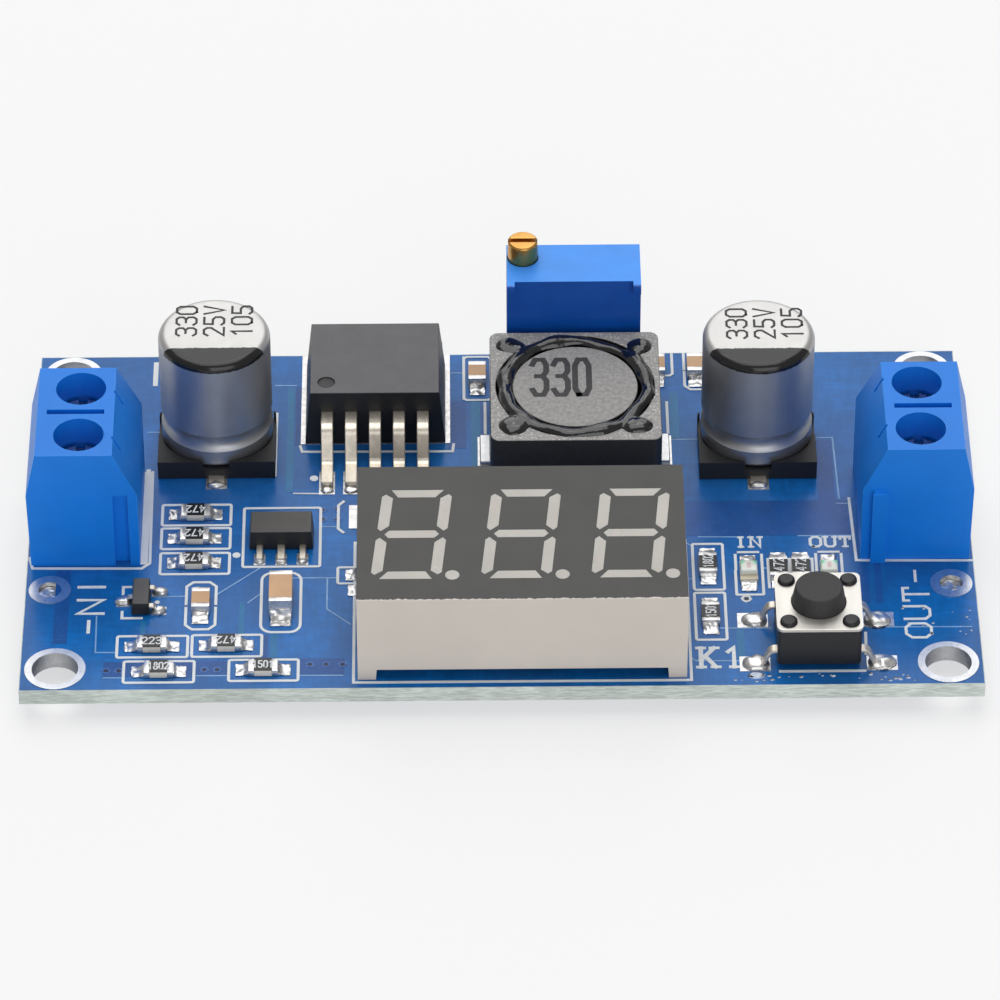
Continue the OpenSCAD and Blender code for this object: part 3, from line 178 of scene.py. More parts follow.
class Wiring:
    """One material's nodes, with the vector of the object's place in millimetres."""

    def __init__(self, name: str) -> None:
        """Starts an empty material around a principled shader."""
        self.material = bpy.data.materials.new(name)
        self.material.use_nodes = True
        self.tree = self.material.node_tree
        self.tree.nodes.clear()
        self.shader = self.node("BsdfPrincipled")
        output = self.node("OutputMaterial")
        self.tree.links.new(self.shader.outputs[0], output.inputs[0])
        place = Signal(self, self.node("TexCoord").outputs["Object"])
        self.place = self.vector("SCALE", {0: place, "Scale": 1 / MM})
        parts = self.node("SeparateXYZ", sockets={0: self.place}).outputs
        self.x, self.y, self.z = (Signal(self, part) for part in parts)

    def node(
        self,
        kind: str,
        settings: Optional[dict[str, Any]] = None,
        sockets: Optional[dict[Any, Any]] = None,
    ) -> bpy.types.Node:
        """Adds one node.

        Args:
            kind: The node's type without its prefix.
            settings: Attributes that are set first; "stops" fills a colour ramp.
            sockets: Values or signals by input name or number.

        Returns:
            The new node.
        """
        made = self.tree.nodes.new("ShaderNode" + kind)
        for key, value in (settings or {}).items():
            if key == "stops":
                ramp = made.color_ramp
                while len(ramp.elements) < len(value):
                    ramp.elements.new(0.5)
                for element, (place, color) in zip(ramp.elements, value):
                    element.position = place
                    element.color = (*color, 1)
            else:
                setattr(made, key, value)
        for key, value in (sockets or {}).items():
            self.feed(made.inputs[key], value)
        return made

    def feed(self, socket: bpy.types.NodeSocket, value: Any) -> None:
        """Links a signal to a socket, or writes a value on it."""
        if isinstance(value, Signal):
            self.tree.links.new(value.socket, socket)
        elif isinstance(value, tuple) and len(value) == 3 and socket.type == "RGBA":
            socket.default_value = (*value, 1)
        else:
            socket.default_value = value

    def vector(self, operation: str, sockets: dict[Any, Any]) -> Signal:
        """Adds a Vector Math node and gives its vector."""
        node = self.node("VectorMath", {"operation": operation}, sockets)
        return Signal(self, node.outputs[0])

    def mix(self, share: Number, first: Tint, second: Tint, blend: str = "MIX") -> Signal:
        """Mixes two colours.

        Args:
            share: How much of the second colour shows.
            first: The colour at a share of 0.
            second: The colour at a share of 1.
            blend: The Mix node's blend type.

        Returns:
            The mixed colour.
        """
        node = self.node(
            "Mix", {"data_type": "RGBA", "blend_type": blend}, {0: share, 6: first, 7: second}
        )
        return Signal(self, node.outputs[2])

    def noise(
        self, size: float, detail: float = 2, stretch: Sequence[float] = (1, 1, 1)
    ) -> Signal:
        """Adds noise around 0.5.

        Args:
            size: The size of its lumps in millimetres.
            detail: How many finer layers it has.
            stretch: Share of that rate along each axis; under 1 draws the lumps out.

        Returns:
            The noise.
        """
        vector = self.vector("MULTIPLY", {0: self.place, 1: tuple(stretch)})
        node = self.node(
            "TexNoise", sockets={"Vector": vector, "Scale": 1 / size, "Detail": detail}
        )
        return Signal(self, node.outputs[0])

    def bump(self, height: Signal, depth: float) -> None:
        """Feeds a height of 0 to 1, `depth` millimetres deep, into the normal."""
        node = self.node("Bump", sockets={"Height": height, "Distance": depth * MM})
        self.feed(self.shader.inputs["Normal"], Signal(self, node.outputs[0]))


# ---------------------------------------------------------------- finishes


@dataclass(frozen=True)
class Finish:
    """A surface with a wandering tone, uneven gloss and a fine grain."""

    name: str
    color: Color
    roughness: float = 0.5
    metallic: float = 0.0
    specular: float = 0.5
    coat: float = 0.0
    glow: float = 0.0
    mottle: float = 0.12
    mottle_size: float = 1.5
    grain_size: float = 0.12
    grain_depth: float = 0.006
    stretch: tuple[float, float, float] = (1, 1, 1)

    def tint(self, wiring: Wiring) -> Tint:
        """Gives the base colour before the tone wanders."""
        return self.color

    def gloss(self, wiring: Wiring) -> Number:
        """Gives the roughness before it wanders."""
        return self.roughness

    def metal(self, wiring: Wiring) -> Number:
        """Gives how metallic the surface is."""
        return self.metallic

    def relief(self, wiring: Wiring) -> Signal:
        """Gives the height of the grain, from 0 to 1."""
        return wiring.noise(self.grain_size, 3, self.stretch)

    def made(self) -> bpy.types.Material:
        """Builds the material once and gives it again when asked again.

        Returns:
            The material of this finish.
        """
        name = f"look_{self.name}"
        known = bpy.data.materials.get(name)
        if known:
            return known
        wiring = Wiring(name)
        shader = wiring.shader.inputs
        wander = wiring.noise(self.mottle_size, 4, self.stretch)
        tone = wiring.node(
            "MapRange",
            sockets={"Value": wander, "From Min": 0.3, "From Max": 0.7,
                     "To Min": 1 - self.mottle, "To Max": 1 + self.mottle},
        )
        grey = wiring.node("CombineColor", sockets={
            i: Signal(wiring, tone.outputs[0]) for i in range(3)})
        base = self.tint(wiring)
        wiring.feed(shader["Base Color"],
                    wiring.mix(1.0, base, Signal(wiring, grey.outputs[0]), "MULTIPLY"))
        uneven = wiring.noise(self.mottle_size * GLOSS_LUMPS, 3) - 0.5
        wiring.feed(shader["Roughness"], uneven * GLOSS_WANDER + self.gloss(wiring))
        wiring.feed(shader["Metallic"], self.metal(wiring))
        shader["Specular IOR Level"].default_value = self.specular
        shader["Coat Weight"].default_value = self.coat
        shader["Coat Roughness"].default_value = COAT_ROUGHNESS
        if self.glow:
            shader["Subsurface Weight"].default_value = self.glow
            shader["Subsurface Scale"].default_value = GLOW_DEPTH * MM
        wiring.bump(self.relief(wiring), self.grain_depth)
        return wiring.material


@dataclass(frozen=True)
class LacqueredBoard(Finish):
    """Blue solder lacquer over glass laminate that shows bare on the sawn edges."""

    edge_color: Color = shade(222, 232, 226)
    half_length: float = 33.0
    half_width: float = 18.0
    rim: float = 0.05

    def edge(self, wiring: Wiring) -> Signal:
        """Gives 1 on the sawn edges and their thin rim, and 0 elsewhere."""
        out_x = abs(wiring.x) - (self.half_length - self.rim)
        out_y = abs(wiring.y) - (self.half_width - self.rim)
        return out_x.most(out_y).rise(-0.02, 0.02)

    def tint(self, wiring: Wiring) -> Tint:
        """Blue with a faint weave, and pale laminate with fibre bundles at the edges."""
        weave = wiring.noise(0.35, 1, (1, 0.25, 1)) * wiring.noise(0.35, 1, (0.25, 1, 1))
        lacquer = wiring.mix(weave.rise(0.1, 0.45), self.color,
                             tuple(part * 1.25 for part in self.color))
        drift = wiring.noise(9.0, 1).rise(0.4, 0.62)
        lacquer = wiring.mix(drift * 0.5, lacquer, shade(34, 88, 152))
        fibres = wiring.noise(0.25, 3, (0.3, 0.3, 3))
        laminate = wiring.mix(fibres.rise(0.35, 0.65), self.edge_color,
                              tuple(part * 0.72 for part in self.edge_color))
        return wiring.mix(self.edge(wiring), lacquer, laminate)

    def gloss(self, wiring: Wiring) -> Number:
        """Glossy lacquer and rough sawn edges."""
        return self.edge(wiring) * 0.5 + self.roughness


@dataclass(frozen=True)
class DrawnCan(Finish):
    """Satin aluminium with a pale top and a printed black segment on it. The pale top is partly
    the can's whitish coating and partly painted light.
    """

    centre: Point = (0.0, 0.0)
    top: float = 11.0
    print_edge: float = -1.8
    pale: Color = shade(200, 199, 197)

    def ink(self, wiring: Wiring) -> Signal:
        """Gives 1 where the black segment is printed on the top and its shoulder."""
        ragged = (wiring.noise(0.25, 2) - 0.5) * 0.18
        front = (self.centre[1] + self.print_edge) - (wiring.y + ragged)
        high = wiring.z + ragged - (self.top - 0.62)
        return front.rise(-0.03, 0.03) * high.rise(-0.03, 0.03)

    def tint(self, wiring: Wiring) -> Tint:
        """Grey drawn wall, pale top and black ink; the pale top is partly coating and partly
        painted light.
        """
        # Pale top and darker wall: partly the can's whitish top coating, partly painted light
        # where the top is lit.
        high = (wiring.z - (self.top - 0.3)).rise(-0.35, 0.25)
        metal = wiring.mix(high, self.color, self.pale)
        return wiring.mix(self.ink(wiring), metal, shade(24, 24, 26))

    def metal(self, wiring: Wiring) -> Number:
        """Bare metal outside the ink."""
        return (1 - self.ink(wiring)) * self.metallic

    def gloss(self, wiring: Wiring) -> Number:
        """Satin metal and glossy ink."""
        return self.roughness - self.ink(wiring) * (self.roughness - 0.18)

    def relief(self, wiring: Wiring) -> Signal:
        """Fine rings round the can."""
        return wiring.noise(0.05, 2, (0.15, 0.15, 1))


@dataclass(frozen=True)
class Faced(Finish):
    """A body whose flat top has its own tone, with a ragged front edge and pale flecks; a
    lighter top is painted light.
    """

    face: Color = shade(78, 76, 73)
    top: float = 8.4
    front: float = -50.0
    rag: float = 0.0
    flecks: float = 0.0

    def faced(self, wiring: Wiring) -> Signal:
        """Gives 1 on the top face."""
        ragged = (wiring.noise(0.3, 3) - 0.5) * self.rag
        face = wiring.z - (self.top - 0.035)
        inside = wiring.y - (self.front + 0.1) + ragged
        return face.rise(-0.01, 0.01) * inside.rise(-0.02, 0.02)

    def tint(self, wiring: Wiring) -> Tint:
        """Body colour, and the tone of the face with its flecks; a face lighter than the body
        is painted light.
        """
        face: Tint = self.face
        if self.flecks:
            spots = wiring.noise(0.14, 2).rise(0.56, 0.64) * self.flecks
            face = wiring.mix(spots, self.face, shade(214, 212, 208))
        # Painted light: a lighter top face stands for the overhead light on the top; the
        # display's dark face is real paint.
        return wiring.mix(self.faced(wiring), self.color, face)


@dataclass(frozen=True)
class IndicatorLens(Finish):
    """Clear lens with green corners at the back and a pinkish core."""

    centres: tuple[Point, ...] = ((17.27, -6.4), (22.87, -6.4))

    def tint(self, wiring: Wiring) -> Tint:
        """Milky lens, green towards the back corners and pink in the middle."""
        near = [abs(wiring.x - x) for x, _ in self.centres]
        side = near[0].least(near[1])
        back = wiring.y - self.centres[0][1]
        green = side.rise(0.2, 0.5) * back.rise(0.0, 0.35)
        pink = (0.2 - side).rise(0.0, 0.12) * (0.4 - abs(back)).rise(0.0, 0.2)
        lens = wiring.mix(green, self.color, shade(120, 224, 186))
        return wiring.mix(pink * 0.6, lens, shade(214, 160, 160))


class Look(Enum):
    """The finishes of the module's pieces."""

    SILK = Finish("silk_white", shade(228, 232, 234), 0.55, grain_depth=0.003, mottle=0.05)
    SERIF = Finish("silk_letters", shade(226, 231, 234), 0.55, grain_depth=0.003, mottle=0.08,
                   mottle_size=0.3)
    # Painted highlight: pale lines where the raised copper edges catch the light.
    EDGE_LINE = Finish("track_edge_glint", shade(128, 170, 214), 0.3, mottle=0.2, mottle_size=0.8)
    DARK_POUR = Finish("lacquer_deep", shade(30, 84, 154), 0.26, specular=0.35, mottle=0.1)
    TEAL_POUR = Finish("lacquer_teal", shade(28, 114, 168), 0.26, specular=0.35, mottle=0.1)
    VIA_RIM = Finish("via_rim", shade(52, 104, 178), 0.26, mottle=0.2, mottle_size=0.3)
    # Painted shade: flat dark discs standing for the shadowed inside of the via holes.
    VIA_HOLE = Finish("via_hole_shade", shade(8, 20, 60), 0.4)
    FLUX = Finish("flux_residue", shade(196, 208, 226), 0.25, mottle=0.2, mottle_size=0.3,
                  grain_size=0.2, grain_depth=0.05)
    TIN = Finish("tinned_metal", shade(205, 206, 208), 0.3, 1.0, mottle=0.1,
                 mottle_size=0.5, grain_depth=0.004)
    LEAD = Finish("plated_lead", shade(222, 214, 200), 0.36, 0.85, mottle=0.12,
                  mottle_size=0.5, stretch=(1, 0.3, 1))
    SOLDER = Finish("bright_solder", shade(214, 213, 212), 0.3, 0.9, mottle=0.16,
                    mottle_size=0.35, grain_size=0.4, grain_depth=0.03)
    TERMINAL = Finish("terminal_blue", shade(12, 128, 232), 0.42, specular=0.35, glow=0.1,
                      mottle=0.05, mottle_size=4, grain_depth=0.004)
    # Lighter blue that the rounded edges of the terminal housings take.
    TERMINAL_EDGE = Finish("terminal_lighter_edge", shade(60, 165, 248), 0.4, mottle=0.2,
                           mottle_size=0.5)
    STEEL = Finish("plated_steel", shade(196, 196, 198), 0.28, 1.0, mottle=0.2,
                   mottle_size=0.4, grain_size=0.3, grain_depth=0.03)
    BRASS_TIN = Finish("tinned_brass", shade(204, 190, 160), 0.33, 1.0)
    BLACK = Finish("moulded_black", shade(26, 26, 28), 0.5, mottle=0.15)
    BUTTON_BLACK = Finish("button_black", shade(20, 20, 23), 0.42, mottle=0.12, grain_size=0.2,
                          grain_depth=0.01)
    FERRITE = Finish("sintered_ferrite", shade(40, 41, 44), 0.42, mottle=0.2,
                     mottle_size=0.3, grain_size=0.1, grain_depth=0.012)
    GLUE = Finish("black_glue", shade(12, 12, 14), 0.09, coat=0.6, mottle=0.2,
                  grain_size=0.9, grain_depth=0.08)
    MARK = Finish("dark_mark", shade(46, 45, 46), 0.55, mottle=0.3, mottle_size=0.4)
    COPPER = Finish("winding_copper", shade(186, 104, 58), 0.35, 1.0)
    SCREW_BRASS = Finish("turned_brass", shade(206, 156, 86), 0.3, 1.0, mottle=0.1,
                         mottle_size=1.2, grain_depth=0.003)
    WHITE = Finish("white_plastic", shade(228, 226, 218), 0.5)
    CERAMIC = Finish("fired_ceramic", shade(222, 218, 208), 0.5)
    RESIN = Finish("segment_resin", shade(192, 187, 180), 0.25, glow=0.2, mottle=0.06,
                   mottle_size=3.0)
    LAMINATE = Finish("bare_laminate", shade(206, 210, 190), 0.55)
    COVER = Finish("satin_cover", shade(206, 203, 196), 0.38, 0.9, mottle=0.08,
                   mottle_size=0.8, stretch=(1, 0.1, 1), grain_size=0.05)
    COVER_EDGE = Finish("cover_edge", shade(240, 236, 228), 0.3, 0.8)
    PLUNGER = Finish("plunger_black", shade(50, 49, 50), 0.6, mottle=0.14, mottle_size=0.2,
                     grain_size=0.16, grain_depth=0.02)
    SPRING = Finish("dome_metal", shade(200, 190, 150), 0.25, 1.0)
    GLAZE = Finish("resistor_glaze", shade(24, 24, 27), 0.25, mottle=0.2)
    TAN = Finish("capacitor_tan", shade(206, 164, 122), 0.4, mottle=0.08)
    LENS = IndicatorLens("clear_lens", shade(236, 240, 230), 0.12, glow=0.2)
    LED_BASE = Finish("lamp_base", shade(214, 204, 180), 0.5)


NODE_LOOKS: dict[Look, tuple[str, ...]] = {
    Look.TIN: ("hole_plating", "regulator_tab", "inductor_terminals", "trimmer_pins",
               "display_pins", "controller_leads"),
    Look.LEAD: ("regulator_leads", "button_leads", "small_regulator_leads",
                "transistor_leads", "diode_leads", "input_capacitor_leads",
                "output_capacitor_leads"),
    Look.SOLDER: ("pin_solder", "pad_solder", "resistor_ends", "ceramic_capacitor_ends"),
    Look.TERMINAL: ("input_terminal_housing", "output_terminal_housing"),
    Look.BRASS_TIN: ("input_terminal_contacts", "output_terminal_contacts"),
    Look.STEEL: tuple(f"{end}_{row}_{kind}" for end in ("input", "output")
                      for row in ("rear", "front") for kind in ("clamp", "screw")),
    Look.BLACK: ("input_capacitor_base", "output_capacitor_base", "controller_body"),
    Look.BUTTON_BLACK: ("button_base",),
    Look.FERRITE: ("inductor_core",),
    Look.GLUE: ("inductor_glue",),
    Look.COPPER: ("inductor_winding",),
    Look.SCREW_BRASS: ("trimmer_screw",),
    Look.WHITE: ("trimmer_rotor",),
    Look.CERAMIC: ("trimmer_element", "resistor_bodies"),
    Look.RESIN: ("display_segments",),
    Look.LAMINATE: ("display_board",),
    Look.LED_BASE: ("indicator_bases",),
    Look.COVER: ("button_cover",),
    Look.PLUNGER: ("button_plunger",),
    Look.SPRING: ("button_dome",),
    Look.GLAZE: ("resistor_coats",),
    Look.TAN: ("ceramic_capacitor_bodies",),
    Look.LENS: ("indicator_lenses",),
}
LOOK_OF: dict[str, Look] = {node: look for look, nodes in NODE_LOOKS.items() for node in nodes}
Paint = Union[Look, Finish]


# ---------------------------------------------------------------- the workbench


class Bench:
    """Modelling steps that every sub-assembly uses."""

    slots = {row["node"]: row["material_slot"] for row in frame["record"]["subparts"]}
    owners = {node: body for body, nodes in frame["record"]["behaviour"]["bodies"].items()
              for node in nodes}

    @staticmethod
    def pick(piece: bpy.types.Object) -> None:
        """Selects one object alone and makes it active."""
        bpy.ops.object.select_all(action="DESELECT")
        piece.select_set(True)
        bpy.context.view_layer.objects.active = piece

    @classmethod
    @contextmanager
    def editing(cls, piece: bpy.types.Object, kind: str = "FACE",
                everything: bool = False) -> Iterator[bmesh.types.BMesh]:
        """Opens a piece in edit mode.

        Args:
            piece: The object to edit.
            kind: VERT, EDGE or FACE, what gets selected.
            everything: Starts with all selected instead of nothing.

        Yields:
            The edit mesh, to select in by place or normal.
        """
        cls.pick(piece)
        bpy.ops.object.mode_set(mode="EDIT")
        bpy.ops.mesh.select_mode(type=kind)
        bpy.ops.mesh.select_all(action="SELECT" if everything else "DESELECT")
        yield bmesh.from_edit_mesh(piece.data)
        bpy.ops.object.mode_set(mode="OBJECT")

    @staticmethod
    def paint(piece: bpy.types.Object, *looks: Paint) -> None:
        """Fills a piece's material slots with finishes."""
        piece.data.materials.clear()
        for look in looks:
            piece.data.materials.append(
                (look.value if isinstance(look, Look) else look).made())

    @classmethod
    def finish(cls, piece: bpy.types.Object, look: Optional[Paint], body: str,
               slot: str, smooth: float = 35) -> bpy.types.Object:
        """Gives a new piece its finish, its smooth shading and its body.

        Args:
            piece: The piece.
            look: Its finish, or None where it is painted already.
            body: The body that it rides on.
            slot: The record's material slot; not used.
            smooth: Angle in degrees up to which faces are shaded as one.

        Returns:
            The piece.
        """
        if look:
            cls.paint(piece, look)
        cls.pick(piece)
        bpy.ops.object.shade_smooth_by_angle(angle=math.radians(smooth))
        even = piece.modifiers.new("even", "WEIGHTED_NORMAL")
        even.keep_sharp = True
        bpy.ops.object.modifier_apply(modifier=even.name)
        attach(piece, body)
        LOG.info("%s on %s", piece.name, body)
        return piece

    @classmethod
    def copied(cls, node: str, name: str) -> bpy.types.Object:
        """Copies a CAD node as a merged mesh of whole faces.

        Args:
            node: The CAD node.
            name: The copy's name.

        Returns:
            The copy, not yet finished.
        """
        piece = bpy.data.objects.new(name, frame["nodes"][node].data.copy())
        bpy.context.scene.collection.objects.link(piece)
        with cls.editing(piece, everything=True):
            bpy.ops.mesh.customdata_custom_splitnormals_clear()
            bpy.ops.mesh.remove_doubles(threshold=1e-6)
            bpy.ops.mesh.dissolve_limited(angle_limit=math.radians(0.6))
        return piece

    @classmethod
    def softened(cls, node: str, width: float, look: Optional[Paint] = None,
                 segments: int = 2, angle: float = 30, edge: Optional[Paint] = None,
                 above: Optional[float] = None) -> bpy.types.Object:
        """Copies a CAD node, rounds its sharp edges and lets the copy stand for it.

        Args:
            node: The CAD node's name.
            width: Width of the rounding in millimetres.
            look: The finish, or None for the node's own.
            segments: Faces across the rounding.
            angle: Edges sharper than this many degrees are rounded.
            edge: A finish of its own for the rounding.
            above: Height in millimetres over which edges are rounded, or None for all.

        Returns:
            The new piece.
        """
        piece = cls.copied(node, f"{node}_skin")
        look = look or LOOK_OF[node]
        cls.paint(piece, look, *([edge] if edge else []))
        if width:
            with cls.editing(piece, "EDGE") as mesh:
                sharp = math.radians(angle)
                for line in mesh.edges:
                    high = above is None or min(v.co.z for v in line.verts) > above * MM
                    if high and line.is_manifold and line.calc_face_angle(0) > sharp:
                        line.select_set(True)
                bpy.ops.mesh.bevel(offset=width * MM, segments=segments, clamp_overlap=True,
                                   miter_outer="ARC", material=1 if edge else -1)
        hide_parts(node)
        return cls.finish(piece, None, cls.owners[node], cls.slots[node])

    @classmethod
    def dress(cls, node: str, look: Optional[Paint] = None) -> None:
        """Puts a finish on a CAD node that stays as it is."""
        cls.paint(frame["nodes"][node], look or LOOK_OF[node])

    @staticmethod
    def islands(piece: bpy.types.Object) -> list[tuple[set[int], Vector, Vector]]:
        """Finds the separate parts of a merged mesh.

        Args:
            piece: The object.

        Returns:
            Each part's vertex numbers, with its lowest and highest corner in millimetres.
        """
        links: dict[int, list[int]] = {v.index: [] for v in piece.data.vertices}
        for a, b in (edge.vertices for edge in piece.data.edges):
            links[a].append(b)
            links[b].append(a)
        left, found = set(links), []
        while left:
            part, edge = set(), [min(left)]
            while edge:
                here = edge.pop()
                if here in part:
                    continue
                part.add(here)
                edge += links[here]
            left -= part
            places = [piece.data.vertices[i].co / MM for i in part]
            corners = [Vector(pick(p[i] for p in places) for i in range(3))
                       for pick in (min, max)]
            found.append((part, *corners))
        return found

    @staticmethod
    def wander(piece: bpy.types.Object, depth: float, size: float,
               floor: Optional[float] = None) -> None:
        """Moves a mesh's points along their normals by smooth lumps.

        Args:
            piece: The object.
            depth: How far points move, in millimetres.
            size: The size of the lumps in millimetres.
            floor: A height that no point goes below, in millimetres.
        """
        for vertex in piece.data.vertices:
            lump = noise.noise(vertex.co / (size * MM))
            vertex.co += vertex.normal * lump * depth * MM
            if floor is not None:
                vertex.co.z = max(vertex.co.z, floor * MM)

    @classmethod
    def remeshed(cls, piece: bpy.types.Object, voxel: float, rounds: int = 2) -> None:
        """Melts a mesh into one skin of small even faces.

        Args:
            piece: The object.
            voxel: Size of the faces in millimetres.
            rounds: How often the skin is smoothed.
        """
        cls.pick(piece)
        melt = piece.modifiers.new("melt", "REMESH")
        melt.mode, melt.voxel_size = "VOXEL", voxel * MM
        bpy.ops.object.modifier_apply(modifier=melt.name)
        calm = piece.modifiers.new("calm", "SMOOTH")
        calm.iterations = rounds
        bpy.ops.object.modifier_apply(modifier=calm.name)

    @classmethod
    def melted(cls, node: str, voxel: float, depth: float, size: float,
               tall: float = 0.2) -> bpy.types.Object:
        """Lets a lumpy copy stand for a node of solder; its thin flat parts stay flat.

        Args:
            node: The CAD node.
            voxel: Size of the new faces in millimetres.
            depth: Depth of the lumps in millimetres.
            size: Size of the lumps in millimetres.
            tall: Parts lower than this many millimetres stay as they are.

        Returns:
            The new piece.
        """
        flat = cls.copied(node, f"{node}_flat")
        lumpy = cls.copied(node, f"{node}_lumps")
        for piece, keeps_tall in ((flat, False), (lumpy, True)):
            drop = {i for part, low, high in cls.islands(piece)
                    if (high.z - low.z > tall) != keeps_tall for i in part}
            with cls.editing(piece, "VERT") as mesh:
                for vertex in mesh.verts:
                    vertex.select_set(vertex.index in drop)
                bpy.ops.mesh.delete(type="VERT")
        cls.remeshed(lumpy, voxel)
        cls.wander(lumpy, depth, size)
        piece = cls.joined([flat, lumpy], f"{node}_skin")
        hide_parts(node)
        return cls.finish(piece, LOOK_OF[node], cls.owners[node], cls.slots[node])

    @classmethod
    def joined(cls, pieces: Sequence[bpy.types.Object], name: str) -> bpy.types.Object:
        """Joins several meshes into the first and names it."""
        cls.pick(pieces[0])
        for piece in pieces[1:]:
            piece.select_set(True)
        if len(pieces) > 1:
            bpy.ops.object.join()
        pieces[0].name = pieces[0].data.name = name
        return pieces[0]

    @classmethod
    def mounds(cls, name: str, heaps: Sequence[Sequence[float]], floor: float,
               depth: float = 0.1, size: float = 0.5) -> bpy.types.Object:
        """Makes lumpy heaps that lie on a level.

        Args:
            name: The piece's name.
            heaps: Middle x and y, half length, half width and height of each, in millimetres.
            floor: The level that they lie on.
            depth: Depth of the lumps in millimetres.
            size: Size of the lumps in millimetres.

        Returns:
            The heaps as one mesh, not yet finished.
        """
        parts = []
        for x, y, long, wide, high in heaps:
            bpy.ops.object.select_all(action="DESELECT")
            bpy.ops.mesh.primitive_uv_sphere_add(
                segments=28, ring_count=16, radius=MM, location=(x * MM, y * MM, floor * MM),
                scale=(long, wide, high))
            bpy.ops.object.transform_apply(location=True, rotation=True, scale=True)
            parts.append(bpy.context.object)
        piece = cls.joined(parts, name)
        cls.wander(piece, depth, size)
        with cls.editing(piece, everything=True):
            bpy.ops.mesh.bisect(plane_co=(0, 0, (floor - 0.01) * MM), plane_no=(0, 0, 1),
                                clear_inner=True, use_fill=True)
        return piece


GLYPHS: dict[str, tuple[tuple[Point, ...], ...]] = {
    "0": (((15, 0), (45, 0), (60, 18), (60, 82), (45, 100), (15, 100), (0, 82), (0, 18),
           (15, 0)),),
    "1": (((12, 80), (32, 100), (32, 0)),),
    "2": (((0, 82), (14, 100), (46, 100), (60, 84), (60, 64), (0, 0), (60, 0)),),
    "3": (((0, 86), (13, 100), (47, 100), (60, 86), (60, 66), (44, 53), (20, 53)),
          ((44, 53), (60, 40), (60, 15), (46, 0), (14, 0), (0, 14))),
    "4": (((46, 0), (46, 100), (0, 28), (62, 28)),),
    "5": (((56, 100), (6, 100), (4, 57), (42, 57), (60, 43), (60, 15), (45, 0), (14, 0),
           (0, 12)),),
    "7": (((0, 100), (60, 100), (20, 0)),),
    "8": (((30, 53), (8, 66), (8, 88), (20, 100), (40, 100), (52, 88), (52, 66), (30, 53),
           (60, 36), (60, 14), (46, 0), (14, 0), (0, 14), (0, 36), (30, 53)),),
    "V": (((0, 100), (30, 0), (60, 100)),),
    "I": (((30, 0), (30, 100)),),
    "N": (((0, 0), (0, 100), (60, 0), (60, 100)),),
    "O": (((18, 0), (48, 0), (66, 22), (66, 78), (48, 100), (18, 100), (0, 78), (0, 22),
           (18, 0)),),
    "U": (((0, 100), (0, 18), (16, 0), (46, 0), (60, 18), (60, 100)),),
    "T": (((30, 0), (30, 100)), ((0, 80), (0, 100), (60, 100), (60, 80))),
    "K": (((6, 0), (6, 100)), ((56, 100), (6, 38)), ((22, 56), (60, 0))),
    "-": (((6, 46), (54, 46)),),
}
SERIFS: dict[str, tuple[Point, ...]] = {
    "I": ((30, 0), (30, 100)), "N": ((0, 0), (0, 100), (60, 100)), "T": ((30, 0),),
    "U": ((0, 100), (60, 100)), "K": ((6, 0), (6, 100), (56, 100), (60, 0)), "1": ((32, 0),),
}


